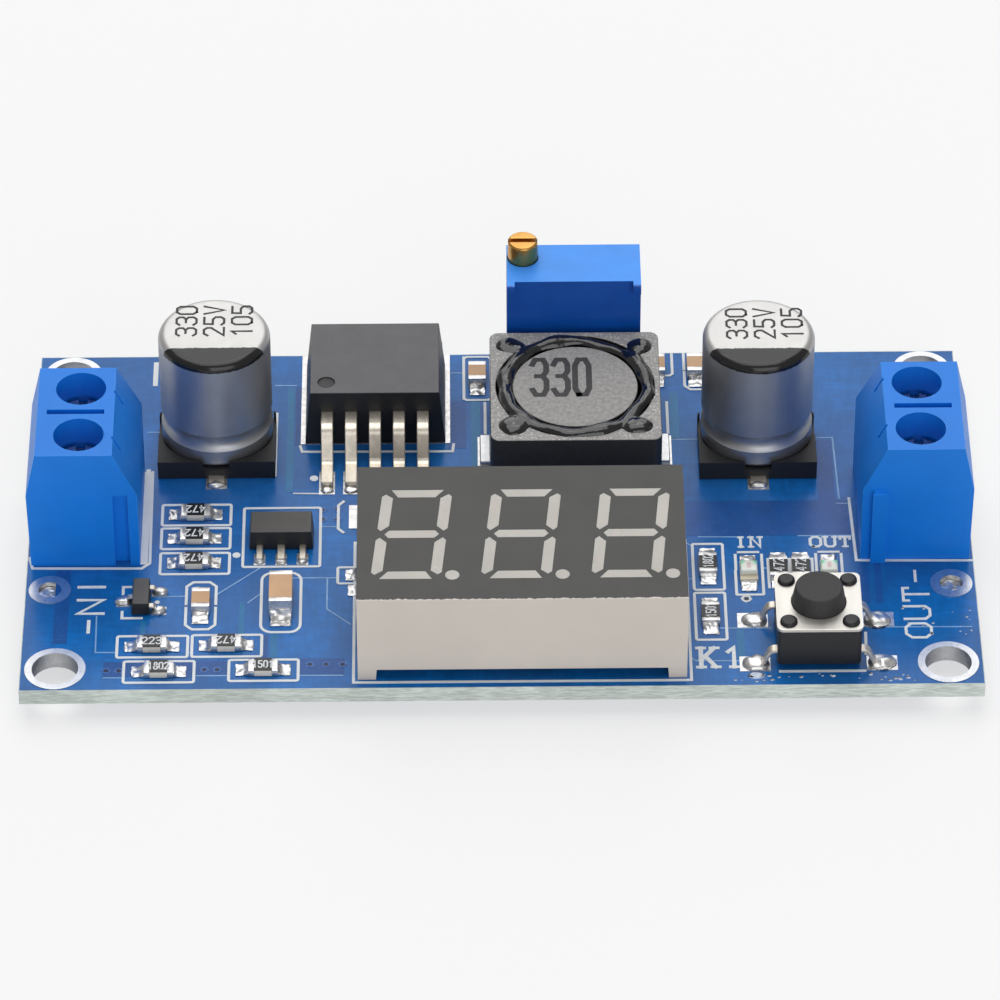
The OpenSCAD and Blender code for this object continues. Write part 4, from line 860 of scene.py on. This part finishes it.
@dataclass
class FlatPrint:
    """Flat shapes that are drawn in plan and then given a thickness."""

    base: float
    thickness: float
    shapes: list[list[list[Point]]] = field(default_factory=list)
    levels: int = 7
    level_step: float = 0.0006

    def path(self, points: Sequence[Point], width: float, closed: bool = False) -> "FlatPrint":
        """Draws a line of even width with mitred corners and square ends.

        Args:
            points: The corners of its middle line.
            width: Its width.
            closed: Whether it returns to its start.

        Returns:
            The print itself.
        """
        stops = [Vector(p) for p in points]
        if not closed:
            ends = ((stops[0], stops[1]), (stops[-1], stops[-2]))
            first, last = (end + (end - near).normalized() * width / 2 for end, near in ends)
            stops[0], stops[-1] = first, last
        count, sides = len(stops), []
        for i, here in enumerate(stops):
            before = (here - stops[i - 1]).normalized() if closed or i else None
            after = ((stops[(i + 1) % count] - here).normalized()
                     if closed or i < count - 1 else None)
            before, after = before or after, after or before
            across = Vector((-before.y - after.y, before.x + after.x)).normalized()
            lean = max(0.5, across.dot(Vector((-after.y, after.x))))
            sides.append((here + across * width / 2 / lean, here - across * width / 2 / lean))
        if closed:
            sides.append(sides[0])
        self.shapes.append([[tuple(a[1]), tuple(b[1]), tuple(b[0]), tuple(a[0])]
                            for a, b in zip(sides, sides[1:])])
        return self

    def frame_of(self, x0: float, x1: float, y0: float, y1: float, width: float = 0.17,
                 corner: float = 0.0) -> "FlatPrint":
        """Draws a rectangle's outline, its corners rounded where `corner` says so."""
        if not corner:
            return self.path([(x0, y0), (x1, y0), (x1, y1), (x0, y1)], width, True)
        points = []
        for i, (x, y) in enumerate(((x1 - corner, y1 - corner), (x0 + corner, y1 - corner),
                                    (x0 + corner, y0 + corner), (x1 - corner, y0 + corner))):
            turns = [math.pi / 2 * (i + step / 4) for step in range(5)]
            points += [(x + corner * math.cos(t), y + corner * math.sin(t)) for t in turns]
        return self.path(points, width, True)

    def cup(self, x0: float, x1: float, mouth: float, bottom: float, width: float = 0.2,
            corner: float = 0.1) -> "FlatPrint":
        """Draws a U that is open at the height `mouth` and closed at `bottom`."""
        rise = math.copysign(corner, mouth - bottom)
        return self.path([(x0, mouth), (x0, bottom + rise), (x0 + corner, bottom),
                          (x1 - corner, bottom), (x1, bottom + rise), (x1, mouth)], width)

    def block(self, x0: float, x1: float, y0: float, y1: float) -> "FlatPrint":
        """Fills a rectangle."""
        self.shapes.append([[(x0, y0), (x1, y0), (x1, y1), (x0, y1)]])
        return self

    def dot(self, x: float, y: float, radius: float, count: int = 20) -> "FlatPrint":
        """Fills a circle."""
        turns = [2 * math.pi * i / count for i in range(count)]
        self.shapes.append([[(x + radius * math.cos(t), y + radius * math.sin(t))
                             for t in turns]])
        return self

    def ring(self, x: float, y: float, radius: float, width: float) -> "FlatPrint":
        """Draws a circle's outline."""
        return self.frame_of(x - radius, x + radius, y - radius, y + radius, width, radius)

    def write(self, text: str, middle: Point, height: float, turn: float = 0.0,
              wide: float = 1.0, line: float = 0.15, serif: bool = False,
              gap: float = 30) -> "FlatPrint":
        """Draws letters and numbers with strokes of even width.

        Args:
            text: What to write.
            middle: The middle of the line of text.
            height: Height of a capital.
            turn: Turn in degrees, counted from the x axis towards the y axis.
            wide: Stretch of the letters along the line.
            line: Width of the strokes.
            serif: Whether the strokes have feet.
            gap: Space between letters, in hundredths of the height.

        Returns:
            The print itself.
        """
        step = 60 + gap
        start = -(len(text) * step - gap) / 2
        angle = math.radians(turn)

        def placed(point: Point, offset: float) -> Point:
            """Puts a point of a glyph on the board."""
            x = (point[0] + offset) * wide * height / 100
            y = (point[1] - 50) * height / 100
            return (middle[0] + x * math.cos(angle) - y * math.sin(angle),
                    middle[1] + x * math.sin(angle) + y * math.cos(angle))

        for number, letter in enumerate(text):
            offset = start + number * step
            for stroke in GLYPHS.get(letter, ()):
                self.path([placed(p, offset) for p in stroke], line)
            for x, y in SERIFS.get(letter, ()) if serif else ():
                foot = [placed((x + side, y), offset) for side in (-14, 14)]
                self.path(foot, line * 0.75)
        return self

    def made(self, name: str) -> bpy.types.Object:
        """Builds the shapes and raises them to their thickness.

        Args:
            name: The new object's name.

        Returns:
            The mesh, not yet finished.
        """
        vertices: list[tuple[float, float, float]] = []
        faces: list[range] = []
        for number, shape in enumerate(self.shapes):
            level = (self.base + number % self.levels * self.level_step) * MM
            for outline in shape:
                faces.append(range(len(vertices), len(vertices) + len(outline)))
                vertices += [(x * MM, y * MM, level) for x, y in outline]
        mesh = bpy.data.meshes.new(name)
        mesh.from_pydata(vertices, [], faces)
        piece = bpy.data.objects.new(name, mesh)
        bpy.context.scene.collection.objects.link(piece)
        with Bench.editing(piece, everything=True):
            bpy.ops.mesh.remove_doubles(threshold=1e-7)
            bpy.ops.mesh.extrude_region_move(
                TRANSFORM_OT_translate={"value": (0, 0, self.thickness * MM)})
            bpy.ops.mesh.select_all(action="SELECT")
            bpy.ops.mesh.normals_make_consistent(inside=False)
        return piece


# ---------------------------------------------------------------- studio


@dataclass
class Studio:
    """Camera, pale floor and soft lights."""

    target: tuple[float, float, float] = (0.024, 0.0, 2.65)
    distance: float = 454.105
    azimuth: float = -0.422
    elevation: float = 40.44
    roll: float = -0.168
    focal: float = 6.46875
    surround: float = 0.34
    floor_size: float = 6
    floor_gap: float = 0.02
    floor_glow: float = 0.62
    lamps: tuple[tuple[str, tuple[float, float, float], float, float], ...] = (
        ("overhead", (-0.05, 0.15, 0.9), 0.8, 3.6),
        ("behind", (0.0, 0.75, 0.6), 0.8, 2.6),
        ("front", (0.2, -0.8, 0.4), 0.7, 2.4),
    )

    def camera(self) -> None:
        """Makes the camera at its place in front of and above the board."""
        az, el, roll = map(math.radians, (self.azimuth, self.elevation, self.roll))
        back = Vector((math.sin(az) * math.cos(el), -math.cos(az) * math.cos(el), math.sin(el)))
        side = (-back).cross(Vector((0, 0, 1))).normalized()
        over = side.cross(-back)
        right = side * math.cos(roll) + over * math.sin(roll)
        above = over * math.cos(roll) - side * math.sin(roll)
        data = bpy.data.cameras.new("camera")
        data.sensor_width = 36
        data.lens = self.focal * data.sensor_width
        data.clip_start, data.clip_end = 0.01, 20
        camera = bpy.data.objects.new("camera", data)
        bpy.context.scene.collection.objects.link(camera)
        place = (Vector(self.target) + back * self.distance) * MM
        turn = Matrix((right, above, back)).transposed().to_4x4()
        camera.matrix_world = Matrix.Translation(place) @ turn
        bpy.context.scene.camera = camera
        bpy.context.scene.view_settings.view_transform = "Standard"

    def lamp(self, name: str, place: Sequence[float], size: float, watts: float) -> None:
        """Hangs a square soft lamp that looks at the board.

        Args:
            name: The lamp's name.
            place: Its place in metres.
            size: Its width in metres.
            watts: Its power.
        """
        data = bpy.data.lights.new(name, "AREA")
        data.size = size
        data.energy = watts
        lamp = bpy.data.objects.new(name, data)
        lamp.location = place
        lamp.rotation_euler = Vector(place).to_track_quat("Z", "Y").to_euler()
        bpy.context.scene.collection.objects.link(lamp)

    def world(self) -> None:
        """Sets a white surround that shows white and lights softly."""
        world = bpy.data.worlds.new("surround")
        bpy.context.scene.world = world
        world.use_nodes = True
        nodes, links = world.node_tree.nodes, world.node_tree.links
        back = nodes["Background"]
        rays = nodes.new("ShaderNodeLightPath")
        level = nodes.new("ShaderNodeMapRange")
        links.new(rays.outputs["Is Camera Ray"], level.inputs["Value"])
        level.inputs["To Min"].default_value = self.surround
        level.inputs["To Max"].default_value = 1.0
        links.new(level.outputs[0], back.inputs["Strength"])
        back.inputs["Color"].default_value = (1, 1, 1, 1)

    def floor(self) -> None:
        """Lays the pale floor under the pins, which keeps the board's shadow."""
        bpy.ops.object.select_all(action="DESELECT")
        low = CAD_BOX[0].z - self.floor_gap * MM
        bpy.ops.mesh.primitive_plane_add(size=self.floor_size, location=(0, 0, low))
        floor = bpy.context.object
        floor.name = "floor"
        wiring = Wiring("pale_floor")
        wiring.shader.inputs["Base Color"].default_value = (0.9, 0.9, 0.9, 1)
        wiring.shader.inputs["Roughness"].default_value = 0.9
        wiring.shader.inputs["Specular IOR Level"].default_value = 0.0
        glow = wiring.node("Emission", sockets={"Color": (1.0, 1.0, 1.0)})
        rays = wiring.node("LightPath")
        share = Signal(wiring, rays.outputs["Is Camera Ray"]) * self.floor_glow
        mixed = wiring.node("MixShader", sockets={0: share})
        wiring.tree.links.new(wiring.shader.outputs[0], mixed.inputs[1])
        wiring.tree.links.new(glow.outputs[0], mixed.inputs[2])
        output = next(n for n in wiring.tree.nodes if n.type == "OUTPUT_MATERIAL")
        wiring.tree.links.new(mixed.outputs[0], output.inputs[0])
        floor.data.materials.append(wiring.material)

    def build(self) -> None:
        """Sets up the whole studio."""
        self.camera()
        self.world()
        self.floor()
        for name, place, size, watts in self.lamps:
            self.lamp(name, place, size, watts)


# ---------------------------------------------------------------- sub-assemblies


@dataclass
class PrintedBoard:
    """The board with its tracks, vias and white print."""

    top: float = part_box("circuit_board")[1].z / MM
    line: float = 0.2
    sunk: float = 0.01
    boxes: tuple[tuple[float, float, float, float], ...] = (
        (-23.72, -18.90, -0.83, 1.39), (-23.72, -18.90, -3.36, -1.14),
        (-23.72, -18.90, -6.03, -3.80), (-26.43, -21.58, -14.69, -12.50),
        (-21.28, -16.49, -14.68, -12.45), (-25.89, -21.07, -17.28, -15.11),
        (-18.69, -13.94, -17.18, -15.03), (13.43, 15.54, -8.11, -3.25),
        (13.42, 15.53, -13.32, -8.43), (-17.97, -12.59, -5.32, 0.97),
        (-11.33, -6.60, -7.15, -5.45),
    )
    cups: tuple[tuple[float, ...], ...] = (
        (-21.80, -19.75, -9.20, -6.91, 0.45), (-21.80, -19.75, -9.61, -11.84, 0.45),
        (16.36, 18.24, -6.16, -8.66, 0.05), (22.02, 23.82, -6.60, -8.66, 0.05),
        (13.46, 15.15, 15.75, 13.77, 0.4), (10.3, 12.6, 17.8, 15.36, 0.2),
        (-2.45, -0.5, 17.6, 12.75, 0.2), (-2.45, -0.5, 12.9, 17.65, 0.2),
    )
    lines: tuple[tuple[Point, ...], ...] = (
        ((13.46, 16.05), (13.46, 17.85)),
        ((-11.0, 1.62), (-11.35, 1.2), (-11.35, -1.3), (-11.0, -1.71)),
        ((12.1, 12.35), (12.1, 8.95)), ((-0.95, 12.4), (-0.95, 9.0)),
        ((16.63, -4.16), (17.99, -4.16)), ((16.40, -5.95), (16.40, -4.45)),
        ((18.24, -5.95), (18.24, -4.45)), ((22.25, -4.19), (23.61, -4.19)),
        ((22.02, -6.33), (22.02, -4.43)), ((23.80, -6.33), (23.80, -4.43)),
        ((18.66, -7.9), (18.66, -4.91), (21.74, -4.91), (21.74, -6.4)),
        ((-32.88, -4.2), (-32.6, -5.3), (-25.0, -5.4), (-24.45, -4.85), (-24.55, 5.0)),
        ((24.64, 1.55), (24.83, -5.1), (32.85, -5.2)),
        ((-14.14, 7.73), (-13.99, 7.12), (-3.29, 7.04), (-3.21, 7.82)),
        ((19.05, -16.62), (24.84, -16.62)), ((25.08, -12.74), (25.0, -14.9)),
        ((-15.85, 11.39), (-15.87, 4.54)), ((-26.2, -8.1), (-26.2, -7.35), (-25.7, -7.35)),
        ((-26.2, -9.95), (-26.2, -10.62), (-24.85, -10.62)),
    )
    # Pale lines of painted highlight along the copper edges.
    glint_lines: tuple[tuple[Point, ...], ...] = (
        ((-23.7, -8.45), (-22.63, -8.35), (-21.9, -8.35)), ((-19.65, -8.14), (-16.72, -5.4)),
        ((-14.6, -6.51), (-11.45, -6.54)), ((-17.52, -9.08), (-16.7, -8.17)),
        ((-12.05, -6.6), (-12.05, -9.8), (-10.4, -11.42)), ((-27.9, -14.13), (-26.5, -14.15)),
        ((-21.5, -14.21), (-21.35, -14.21)), ((-27.25, -16.73), (-25.95, -16.75)),
        ((-21.0, -16.6), (-18.75, -16.6)), ((-13.85, -16.63), (-10.9, -16.66)),
        ((-12.5, -1.06), (-11.4, -1.08)), ((13.9, -2.45), (16.76, -2.5)),
        ((20.9, -2.42), (24.6, -2.42)), ((23.77, 1.04), (24.6, 1.03)),
        ((13.0, -3.05), (13.4, -3.47)), ((12.95, -6.92), (13.4, -6.93)),
        ((15.13, -12.1), (18.6, -12.15)), ((13.01, -15.17), (13.3, -15.46), (16.49, -15.5)),
        ((18.3, -5.83), (18.6, -5.84)), ((-16.0, 14.57), (-14.52, 14.55)),
        ((-25.03, 9.43), (-24.2, 9.42)), ((-3.4, 15.86), (-2.55, 15.85)),
        ((12.3, 8.2), (14.2, 8.2)), ((22.7, 8.25), (23.8, 8.28)), ((23.8, 8.2), (23.95, 1.55)),
        ((-27.95, -10.4), (-27.9, -14.13)), ((25.2, -12.1), (32.4, -12.15)),
    )
    dark: tuple[tuple[float, float, float, float], ...] = (
        (-27.3, -18.8, -16.62, -15.1), (-13.9, -10.8, -16.55, -14.9),
        (13.1, 24.5, -2.35, 1.4), (-3.6, -2.3, 7.4, 12.6), (-14.5, -13.9, 7.9, 14.4),
        (24.95, 25.6, -9.6, -5.4), (26.0, 26.5, -9.6, -5.4), (-1.2, -0.7, 2.0, 12.2),
        (-30.9, -29.9, -13.2, -5.6), (-16.45, -16.05, -14.9, -12.4), (22.5, 23.7, 1.4, 8.0),
    )
    teal: tuple[tuple[float, float, float, float], ...] = (
        (-18.1, -17.75, -12.4, -9.0), (-15.9, -15.4, -14.8, -12.3), (-15.1, -14.6, 2.7, 14.3),
        (-1.95, -1.3, 2.0, 12.6), (12.3, 12.9, 8.3, 13.5), (-24.2, -23.8, 5.0, 9.3),
        (16.2, 16.7, -15.3, -12.3), (-24.9, -24.55, -12.3, -10.9),
    )
    vias: tuple[Point, ...] = (
        (-27.09, -16.03), (-26.23, -16.04), (-20.37, -15.99), (-19.5, -16.0),
        (-13.15, -15.54), (-12.04, -15.55), (-10.9, -15.56), (-11.42, 0.83),
        (-11.41, -0.29), (-12.46, -0.27), (-12.48, 0.73),
    )
    open_via: Point = (17.01, -9.07)

    def lacquer(self) -> LacqueredBoard:
        """Gives the board's finish."""
        return LacqueredBoard("board_lacquer", shade(18, 100, 172), 0.22, specular=0.35,
                              mottle=0.12, mottle_size=5, grain_size=0.5, grain_depth=0.006)

    def put(self, flat: FlatPrint, name: str, look: Look) -> None:
        """Makes a print and lays it on the board."""
        Bench.finish(flat.made(name), look, BOARD, "board")

    def outlines(self) -> None:
        """Prints the white outlines of the parts."""
        ink = FlatPrint(self.top - self.sunk, 0.045 + self.sunk)
        for x0, x1, y0, y1 in self.boxes:
            ink.frame_of(x0, x1, y0, y1, self.line, 0.14)
        for x0, x1, mouth, bottom, corner in self.cups:
            ink.cup(x0, x1, mouth, bottom, self.line, corner)
        for points in self.lines:
            ink.path(points, self.line)
        ink.frame_of(-16.60, -13.87, -12.19, -5.98, self.line, 0.75)
        low, high = (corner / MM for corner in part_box("display_housing"))
        ink.frame_of(low.x - 0.3, high.x + 0.3, low.y - 0.3, high.y + 0.3, self.line)
        ink.path([(20.25, -5.0), (20.15, -6.6)], 0.36)
        for x0, x1, y0, y1 in ((-25.22, -24.6, -4.95, 5.0), (-24.85, -24.5, 14.6, 17.3),
                               (-25.0, -24.7, 2.2, 5.3)):
            ink.block(x0, x1, y0, y1)
        for x, y, radius in ((-23.81, -8.98, 0.18), (-18.42, -4.05, 0.28),
                             (-13.11, 4.18, 0.3)):
            ink.dot(x, y, radius)
        ink.path([(-14.5, 2.55), (-12.77, 2.5)], 0.12)
        self.put(ink, "silk_outlines", Look.SILK)

    def letters(self) -> None:
        """Prints the plain words that name the two ends, the lamps and the button."""
        ink = FlatPrint(self.top - self.sunk, 0.045 + self.sunk)
        ink.write("IN", (17.35, -3.08), 1.02, wide=1.05, line=0.21, serif=True, gap=36)
        ink.write("OUT", (23.09, -3.11), 1.02, wide=1.1, line=0.21, serif=True, gap=34)
        ink.write("K1", (15.0, -15.15), 1.95, wide=0.95, line=0.32, serif=True, gap=36)
        ink.write("IN-", (-28.4, -9.4), 1.75, turn=-90, wide=1.35, line=0.24, gap=28)
        ink.write("OUT-", (28.76, -9.7), 1.75, turn=90, wide=1.25, line=0.2, gap=28)
        self.put(ink, "silk_letters", Look.SERIF)

    def tracks(self) -> None:
        """Lays the copper that shows under the lacquer with painted highlights along its edges,
        and the vias with painted shade in their holes.
        """
        # Painted highlight along the copper edges.
        edges = FlatPrint(self.top - self.sunk, 0.02 + self.sunk)
        for points in self.glint_lines:
            edges.path(points, 0.1)
        self.put(edges, "track_edge_glints", Look.EDGE_LINE)
        for name, areas, look in (("copper_deep", self.dark, Look.DARK_POUR),
                                  ("copper_light", self.teal, Look.TEAL_POUR)):
            pour = FlatPrint(self.top - self.sunk, 0.012 + self.sunk)
            for area in areas:
                pour.block(*area)
            self.put(pour, name, look)
        rims = FlatPrint(self.top - self.sunk, 0.03 + self.sunk)
        # Dark discs of painted shade stand for the via holes.
        hole_shades = FlatPrint(self.top - self.sunk, 0.022 + self.sunk)
        for x, y in self.vias:
            rims.ring(x, y, 0.24, 0.12)
            hole_shades.dot(x, y, 0.2)
        self.put(rims, "via_rims", Look.VIA_RIM)
        hole_shades.dot(*self.open_via, 0.2)
        self.put(hole_shades, "via_hole_shades", Look.VIA_HOLE)
        ring = FlatPrint(self.top - self.sunk, 0.04 + self.sunk)
        ring.ring(*self.open_via, 0.28, 0.16)
        self.put(ring, "open_via_ring", Look.SILK)

    def residue(self) -> None:
        """Leaves dried flux by the button and along the front edge."""
        draws = Random(5)
        heaps = [(17.4, -17.0, 0.62, 0.36, 0.12)]
        for _ in range(26):
            size = draws.uniform(0.05, 0.13)
            heaps.append((draws.uniform(15.8, 28.5), draws.uniform(-17.6, -16.85),
                          size * 1.4, size, size * 0.5))
        for _ in range(16):
            size = draws.uniform(0.05, 0.12)
            heaps.append((draws.uniform(27.6, 32.4), draws.uniform(-13.0, -10.0),
                          size, size, size * 0.5))
        piece = Bench.mounds("flux_residue", heaps, self.top, 0.02, 0.3)
        Bench.finish(piece, Look.FLUX, BOARD, "board")

    def build(self) -> None:
        """Builds the board's pieces."""
        Bench.softened("circuit_board", 0.03, self.lacquer(), 1)
        self.tracks()
        self.outlines()
        self.letters()
        self.residue()


@dataclass
class Capacitor:
    """One electrolytic capacitor: can, base, leads and marks."""

    end: str
    middle: Point
    lines: tuple[str, ...] = ("330", "25V", "105")
    column: float = 1.95

    def build(self) -> None:
        """Dresses the capacitor and prints its marks."""
        low, high = (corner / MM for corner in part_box(f"{self.end}_capacitor_can"))
        centre = (low + high) / 2
        can = DrawnCan(f"{self.end}_can_aluminium", shade(178, 180, 184), 0.42, 0.85,
                       mottle=0.04, centre=(centre.x, centre.y), top=high.z)
        Bench.softened(f"{self.end}_capacitor_can", 0.0, can)
        Bench.softened(f"{self.end}_capacitor_base", 0.12)
        Bench.dress(f"{self.end}_capacitor_leads")
        ink = FlatPrint(high.z - 0.01, 0.025)
        for number, line in enumerate(self.lines):
            x = self.middle[0] + (number - 1) * self.column
            ink.write(line, (x, self.middle[1]), 1.4, 90, 1.0, 0.17, gap=26)
        Bench.finish(ink.made(f"{self.end}_can_marks"), Look.MARK, BOARD,
                     Bench.slots[f"{self.end}_capacitor_can"])


@dataclass
class Terminal:
    """One screw terminal with its two screws, clamps and contacts."""

    end: str

    def build(self) -> None:
        """Rounds the housing and its screws."""
        # The rounded edges take a lighter blue of their own.
        Bench.softened(f"{self.end}_terminal_housing", 0.1, edge=Look.TERMINAL_EDGE, segments=2)
        for row in ("rear", "front"):
            Bench.softened(f"{self.end}_{row}_screw", 0.06)
            Bench.softened(f"{self.end}_{row}_clamp", 0.05, segments=1)
        Bench.dress(f"{self.end}_terminal_contacts")


@dataclass
class Regulator:
    """The large regulator: ground top, dimple, tab and five leads."""


    def build(self) -> None:
        """Builds the regulator's pieces."""
        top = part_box("regulator_body")[1].z / MM
        # The lighter top colour is painted light: the sheen of the overhead light on the ground
        # top.
        epoxy = Faced("regulator_epoxy_lit_top", shade(24, 25, 28), 0.45, mottle=0.08,
                      grain_size=0.08, grain_depth=0.01, face=shade(86, 86, 89), top=top)
        Bench.softened("regulator_body", 0.16, epoxy, 3)
        Bench.softened("regulator_leads", 0.05, segments=1)
        Bench.softened("regulator_tab", 0.08, segments=1)


@dataclass
class Inductor:
    """The shielded inductor with its glue ring and marked core."""

    glue_radius: float = 5.1
    glue_bead: float = 0.6
    glue_level: float = 6.92
    blob: float = 1.0
    mark: str = "330"

    def glue(self) -> None:
        """Lays the glossy bead between core and shield, with a blob at each corner."""
        low, high = (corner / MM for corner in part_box("inductor_core"))
        centre = (low + high) / 2
        bpy.ops.object.select_all(action="DESELECT")
        bpy.ops.mesh.primitive_torus_add(
            major_segments=96, minor_segments=16, major_radius=self.glue_radius * MM,
            minor_radius=self.glue_bead * MM,
            location=(centre.x * MM, centre.y * MM, self.glue_level * MM))
        bpy.ops.object.transform_apply(location=True, rotation=True, scale=True)
        parts = [bpy.context.object]
        reach = 4.42
        for side in (-1, 1):
            for end in (-1, 1):
                bpy.ops.object.select_all(action="DESELECT")
                bpy.ops.mesh.primitive_uv_sphere_add(
                    segments=24, ring_count=16, radius=self.blob * MM,
                    scale=(1.1, 1, 0.55),
                    location=((centre.x + side * reach) * MM, (centre.y + end * reach) * MM,
                              7.0 * MM))
                bpy.ops.object.transform_apply(location=True, rotation=True, scale=True)
                parts.append(bpy.context.object)
        piece = Bench.joined(parts, "inductor_glue_bead")
        Bench.wander(piece, 0.32, 1.6)
        Bench.remeshed(piece, 0.1, 3)
        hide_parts("inductor_glue")
        Bench.finish(piece, Look.GLUE, BOARD, Bench.slots["inductor_glue"], 60)

    def build(self) -> None:
        """Builds the inductor's pieces."""
        for node, width in (("inductor_shield", 0.22), ("inductor_core", 0.12)):
            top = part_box(node)[1].z / MM
            # The lighter face tone on the shield and core tops is painted light from above.
            ferrite = Faced(f"{node}_ferrite", shade(38, 39, 42), 0.42, mottle=0.2,
                            mottle_size=0.3, grain_size=0.1, grain_depth=0.012,
                            face=shade(146, 144, 142), top=top,
                            flecks=0.7 if node == "inductor_shield" else 0.12)
            Bench.softened(node, width, ferrite, 3)
        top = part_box("inductor_core")[1].z / MM
        ink = FlatPrint(top - 0.01, 0.025)
        ink.write(self.mark, (4.4, 8.0), 3.9, 0, 0.42, 0.42, gap=32)
        piece = ink.made("inductor_mark")
        Bench.finish(piece, Look.MARK, BOARD, Bench.slots["inductor_core"])
        self.glue()
        Bench.softened("inductor_terminals", 0.06, segments=1)


@dataclass
class Trimmer:
    """The multi-turn trimmer with its brass screw."""

    mark: str = "103"

    def build(self) -> None:
        """Builds the trimmer's pieces."""
        low, high = (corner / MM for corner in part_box("trimmer_housing"))
        # The lighter top and its ragged front edge are painted light: the top catching the
        # overhead light.
        blue = Faced("trimmer_blue_lit_top", shade(4, 82, 180), 0.4, mottle=0.06, mottle_size=2,
                     grain_size=0.3, grain_depth=0.01, face=shade(56, 150, 250), top=high.z,
                     front=low.y + 0.05, rag=0.5)
        Bench.softened("trimmer_housing", 0.08, blue, 2)
        Bench.softened("trimmer_screw", 0.06, segments=2)


@dataclass
class Display:
    """The three-digit display: pale shell, dark face and clear segments."""

    def build(self) -> None:
        """Builds the display's pieces."""
        low, high = (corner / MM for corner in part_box("display_housing"))
        shell = Faced("display_shell", shade(214, 206, 198), 0.42, mottle=0.03, mottle_size=5,
                      grain_depth=0.003, face=shade(54, 53, 51), top=high.z, front=low.y,
                      rag=0.4)
        Bench.softened("display_housing", 0.09, shell, 2)
        Bench.softened("display_segments", 0.04, segments=2)


@dataclass
class Button:
    """The push button: moulded base, steel cover, plunger, snap dome and four leads."""

    dome_keep: float = 0.3

    def build(self) -> None:
        """Builds the button's pieces."""
        post_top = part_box("button_base")[1].z / MM
        Bench.softened("button_base", 0.2, segments=4, above=post_top - 0.01)
        Bench.softened("button_cover", 0.09, edge=Look.COVER_EDGE)
        Bench.softened("button_plunger", 0.22, segments=3)
        Bench.softened("button_leads", 0.06, segments=1)
        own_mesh(Bench.softened("button_dome", 0.0))


@dataclass
class ChipParts:
    """Chip resistors with their codes, chip capacitors, lamps and small packages."""

    codes: tuple[tuple[Point, str, float], ...] = (
        ((-21.37, 0.28), "472", 180), ((-21.39, -2.28), "472", 180),
        ((-21.37, -4.92), "472", 180), ((-24.03, -13.6), "223", 0),
        ((-18.92, -13.57), "472", 180), ((-23.49, -16.2), "1802", 0),
        ((-16.34, -16.1), "1501", 0), ((14.45, -5.68), "1802", 90),
        ((14.48, -10.87), "1501", 90), ((19.36, -6.15), "472", 90),
        ((20.9, -6.15), "472", 90),
    )

    def build(self) -> None:
        """Builds the small parts."""
        for node in ("resistor_bodies", "resistor_ends", "ceramic_capacitor_ends",
                     "ceramic_capacitor_bodies"):
            Bench.softened(node, 0.06, segments=2)
        Bench.dress("resistor_coats")
        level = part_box("resistor_coats")[1].z / MM
        ink = FlatPrint(level - 0.01, 0.025)
        for middle, text, turn in self.codes:
            ink.write(text, middle, 0.66, turn, 0.8 if len(text) == 3 else 0.62, 0.1)
        Bench.finish(ink.made("resistor_codes"), Look.SILK, BOARD,
                     Bench.slots["resistor_coats"])
        for node, tone in (("small_regulator_body", 72), ("transistor_body", 82),
                           ("diode_body", 74)):
            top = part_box(node)[1].z / MM
            # The lighter top tone is painted light from above.
            epoxy = Faced(f"{node}_epoxy", shade(26, 26, 28), 0.5, mottle=0.1,
                          grain_size=0.08, grain_depth=0.01,
                          face=shade(tone, tone - 2, tone - 4), top=top)
            Bench.softened(node, 0.08, epoxy)
        for node in ("small_regulator_leads", "transistor_leads", "diode_leads"):
            Bench.softened(node, 0.04, segments=1)
        Bench.softened("indicator_lenses", 0.12, segments=3)
        Bench.softened("indicator_bases", 0.05)


@dataclass
class Soldering:
    """Solder on the pads, on the pins and over the toes of the leads."""

    top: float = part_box("circuit_board")[1].z / MM
    heaps: tuple[tuple[float, ...], ...] = (
        (25.95, -11.45, 1.0, 0.85, 0.42), (26.05, -15.85, 1.0, 0.8, 0.42),
        (17.5, -11.35, 0.9, 0.75, 0.4), (17.4, -15.85, 0.95, 0.75, 0.45),
        (-26.15, -8.95, 0.6, 0.42, 0.4), (-23.65, -9.95, 0.55, 0.42, 0.42),
        (-23.65, -8.0, 0.55, 0.42, 0.42), (-16.8, -4.75, 0.42, 0.4, 0.28),
        (-15.3, -4.75, 0.42, 0.4, 0.28), (-13.8, -4.75, 0.42, 0.4, 0.28),
        (-20.0, 3.5, 0.65, 0.4, 0.32), (18.3, 3.0, 0.65, 0.4, 0.32),
        (-20.0, 13.3, 0.65, 0.4, 0.32), (18.3, 12.8, 0.65, 0.4, 0.32),
    )
    toe_row: float = 2.82
    toes: tuple[float, ...] = (-12.18, -10.48, -8.78, -7.08, -5.38)

    def build(self) -> None:
        """Builds the solder."""
        Bench.melted("pad_solder", 0.07, 0.1, 0.45)
        Bench.dress("pin_solder")
        rows = [(x, self.toe_row, 0.5, 0.36, 0.26) for x in self.toes]
        piece = Bench.mounds("lead_solder", [*self.heaps, *rows], self.top + 0.04)
        Bench.finish(piece, Look.SOLDER, BOARD, Bench.slots["pad_solder"], 60)


def build_rest() -> None:
    """Dresses the nodes that no class has dressed yet."""
    shown = {node for node, piece in frame["nodes"].items() if not piece.hide_render}
    for node in sorted(shown):
        if node in LOOK_OF:
            Bench.dress(node)


def main() -> None:
    """Builds the studio and every sub-assembly in order."""
    logging.basicConfig(level=logging.INFO, format="%(message)s")
    Studio().build()
    build_rest()
    PrintedBoard().build()
    for end, middle in (("input", (-20.0, 9.6)), ("output", (18.72, 8.85))):
        Capacitor(end, middle).build()
        Terminal(end).build()
    for assembly in (Regulator, Inductor, Trimmer, Display, Button, ChipParts, Soldering):
        assembly().build()


if __name__ == "__main__":
    main()
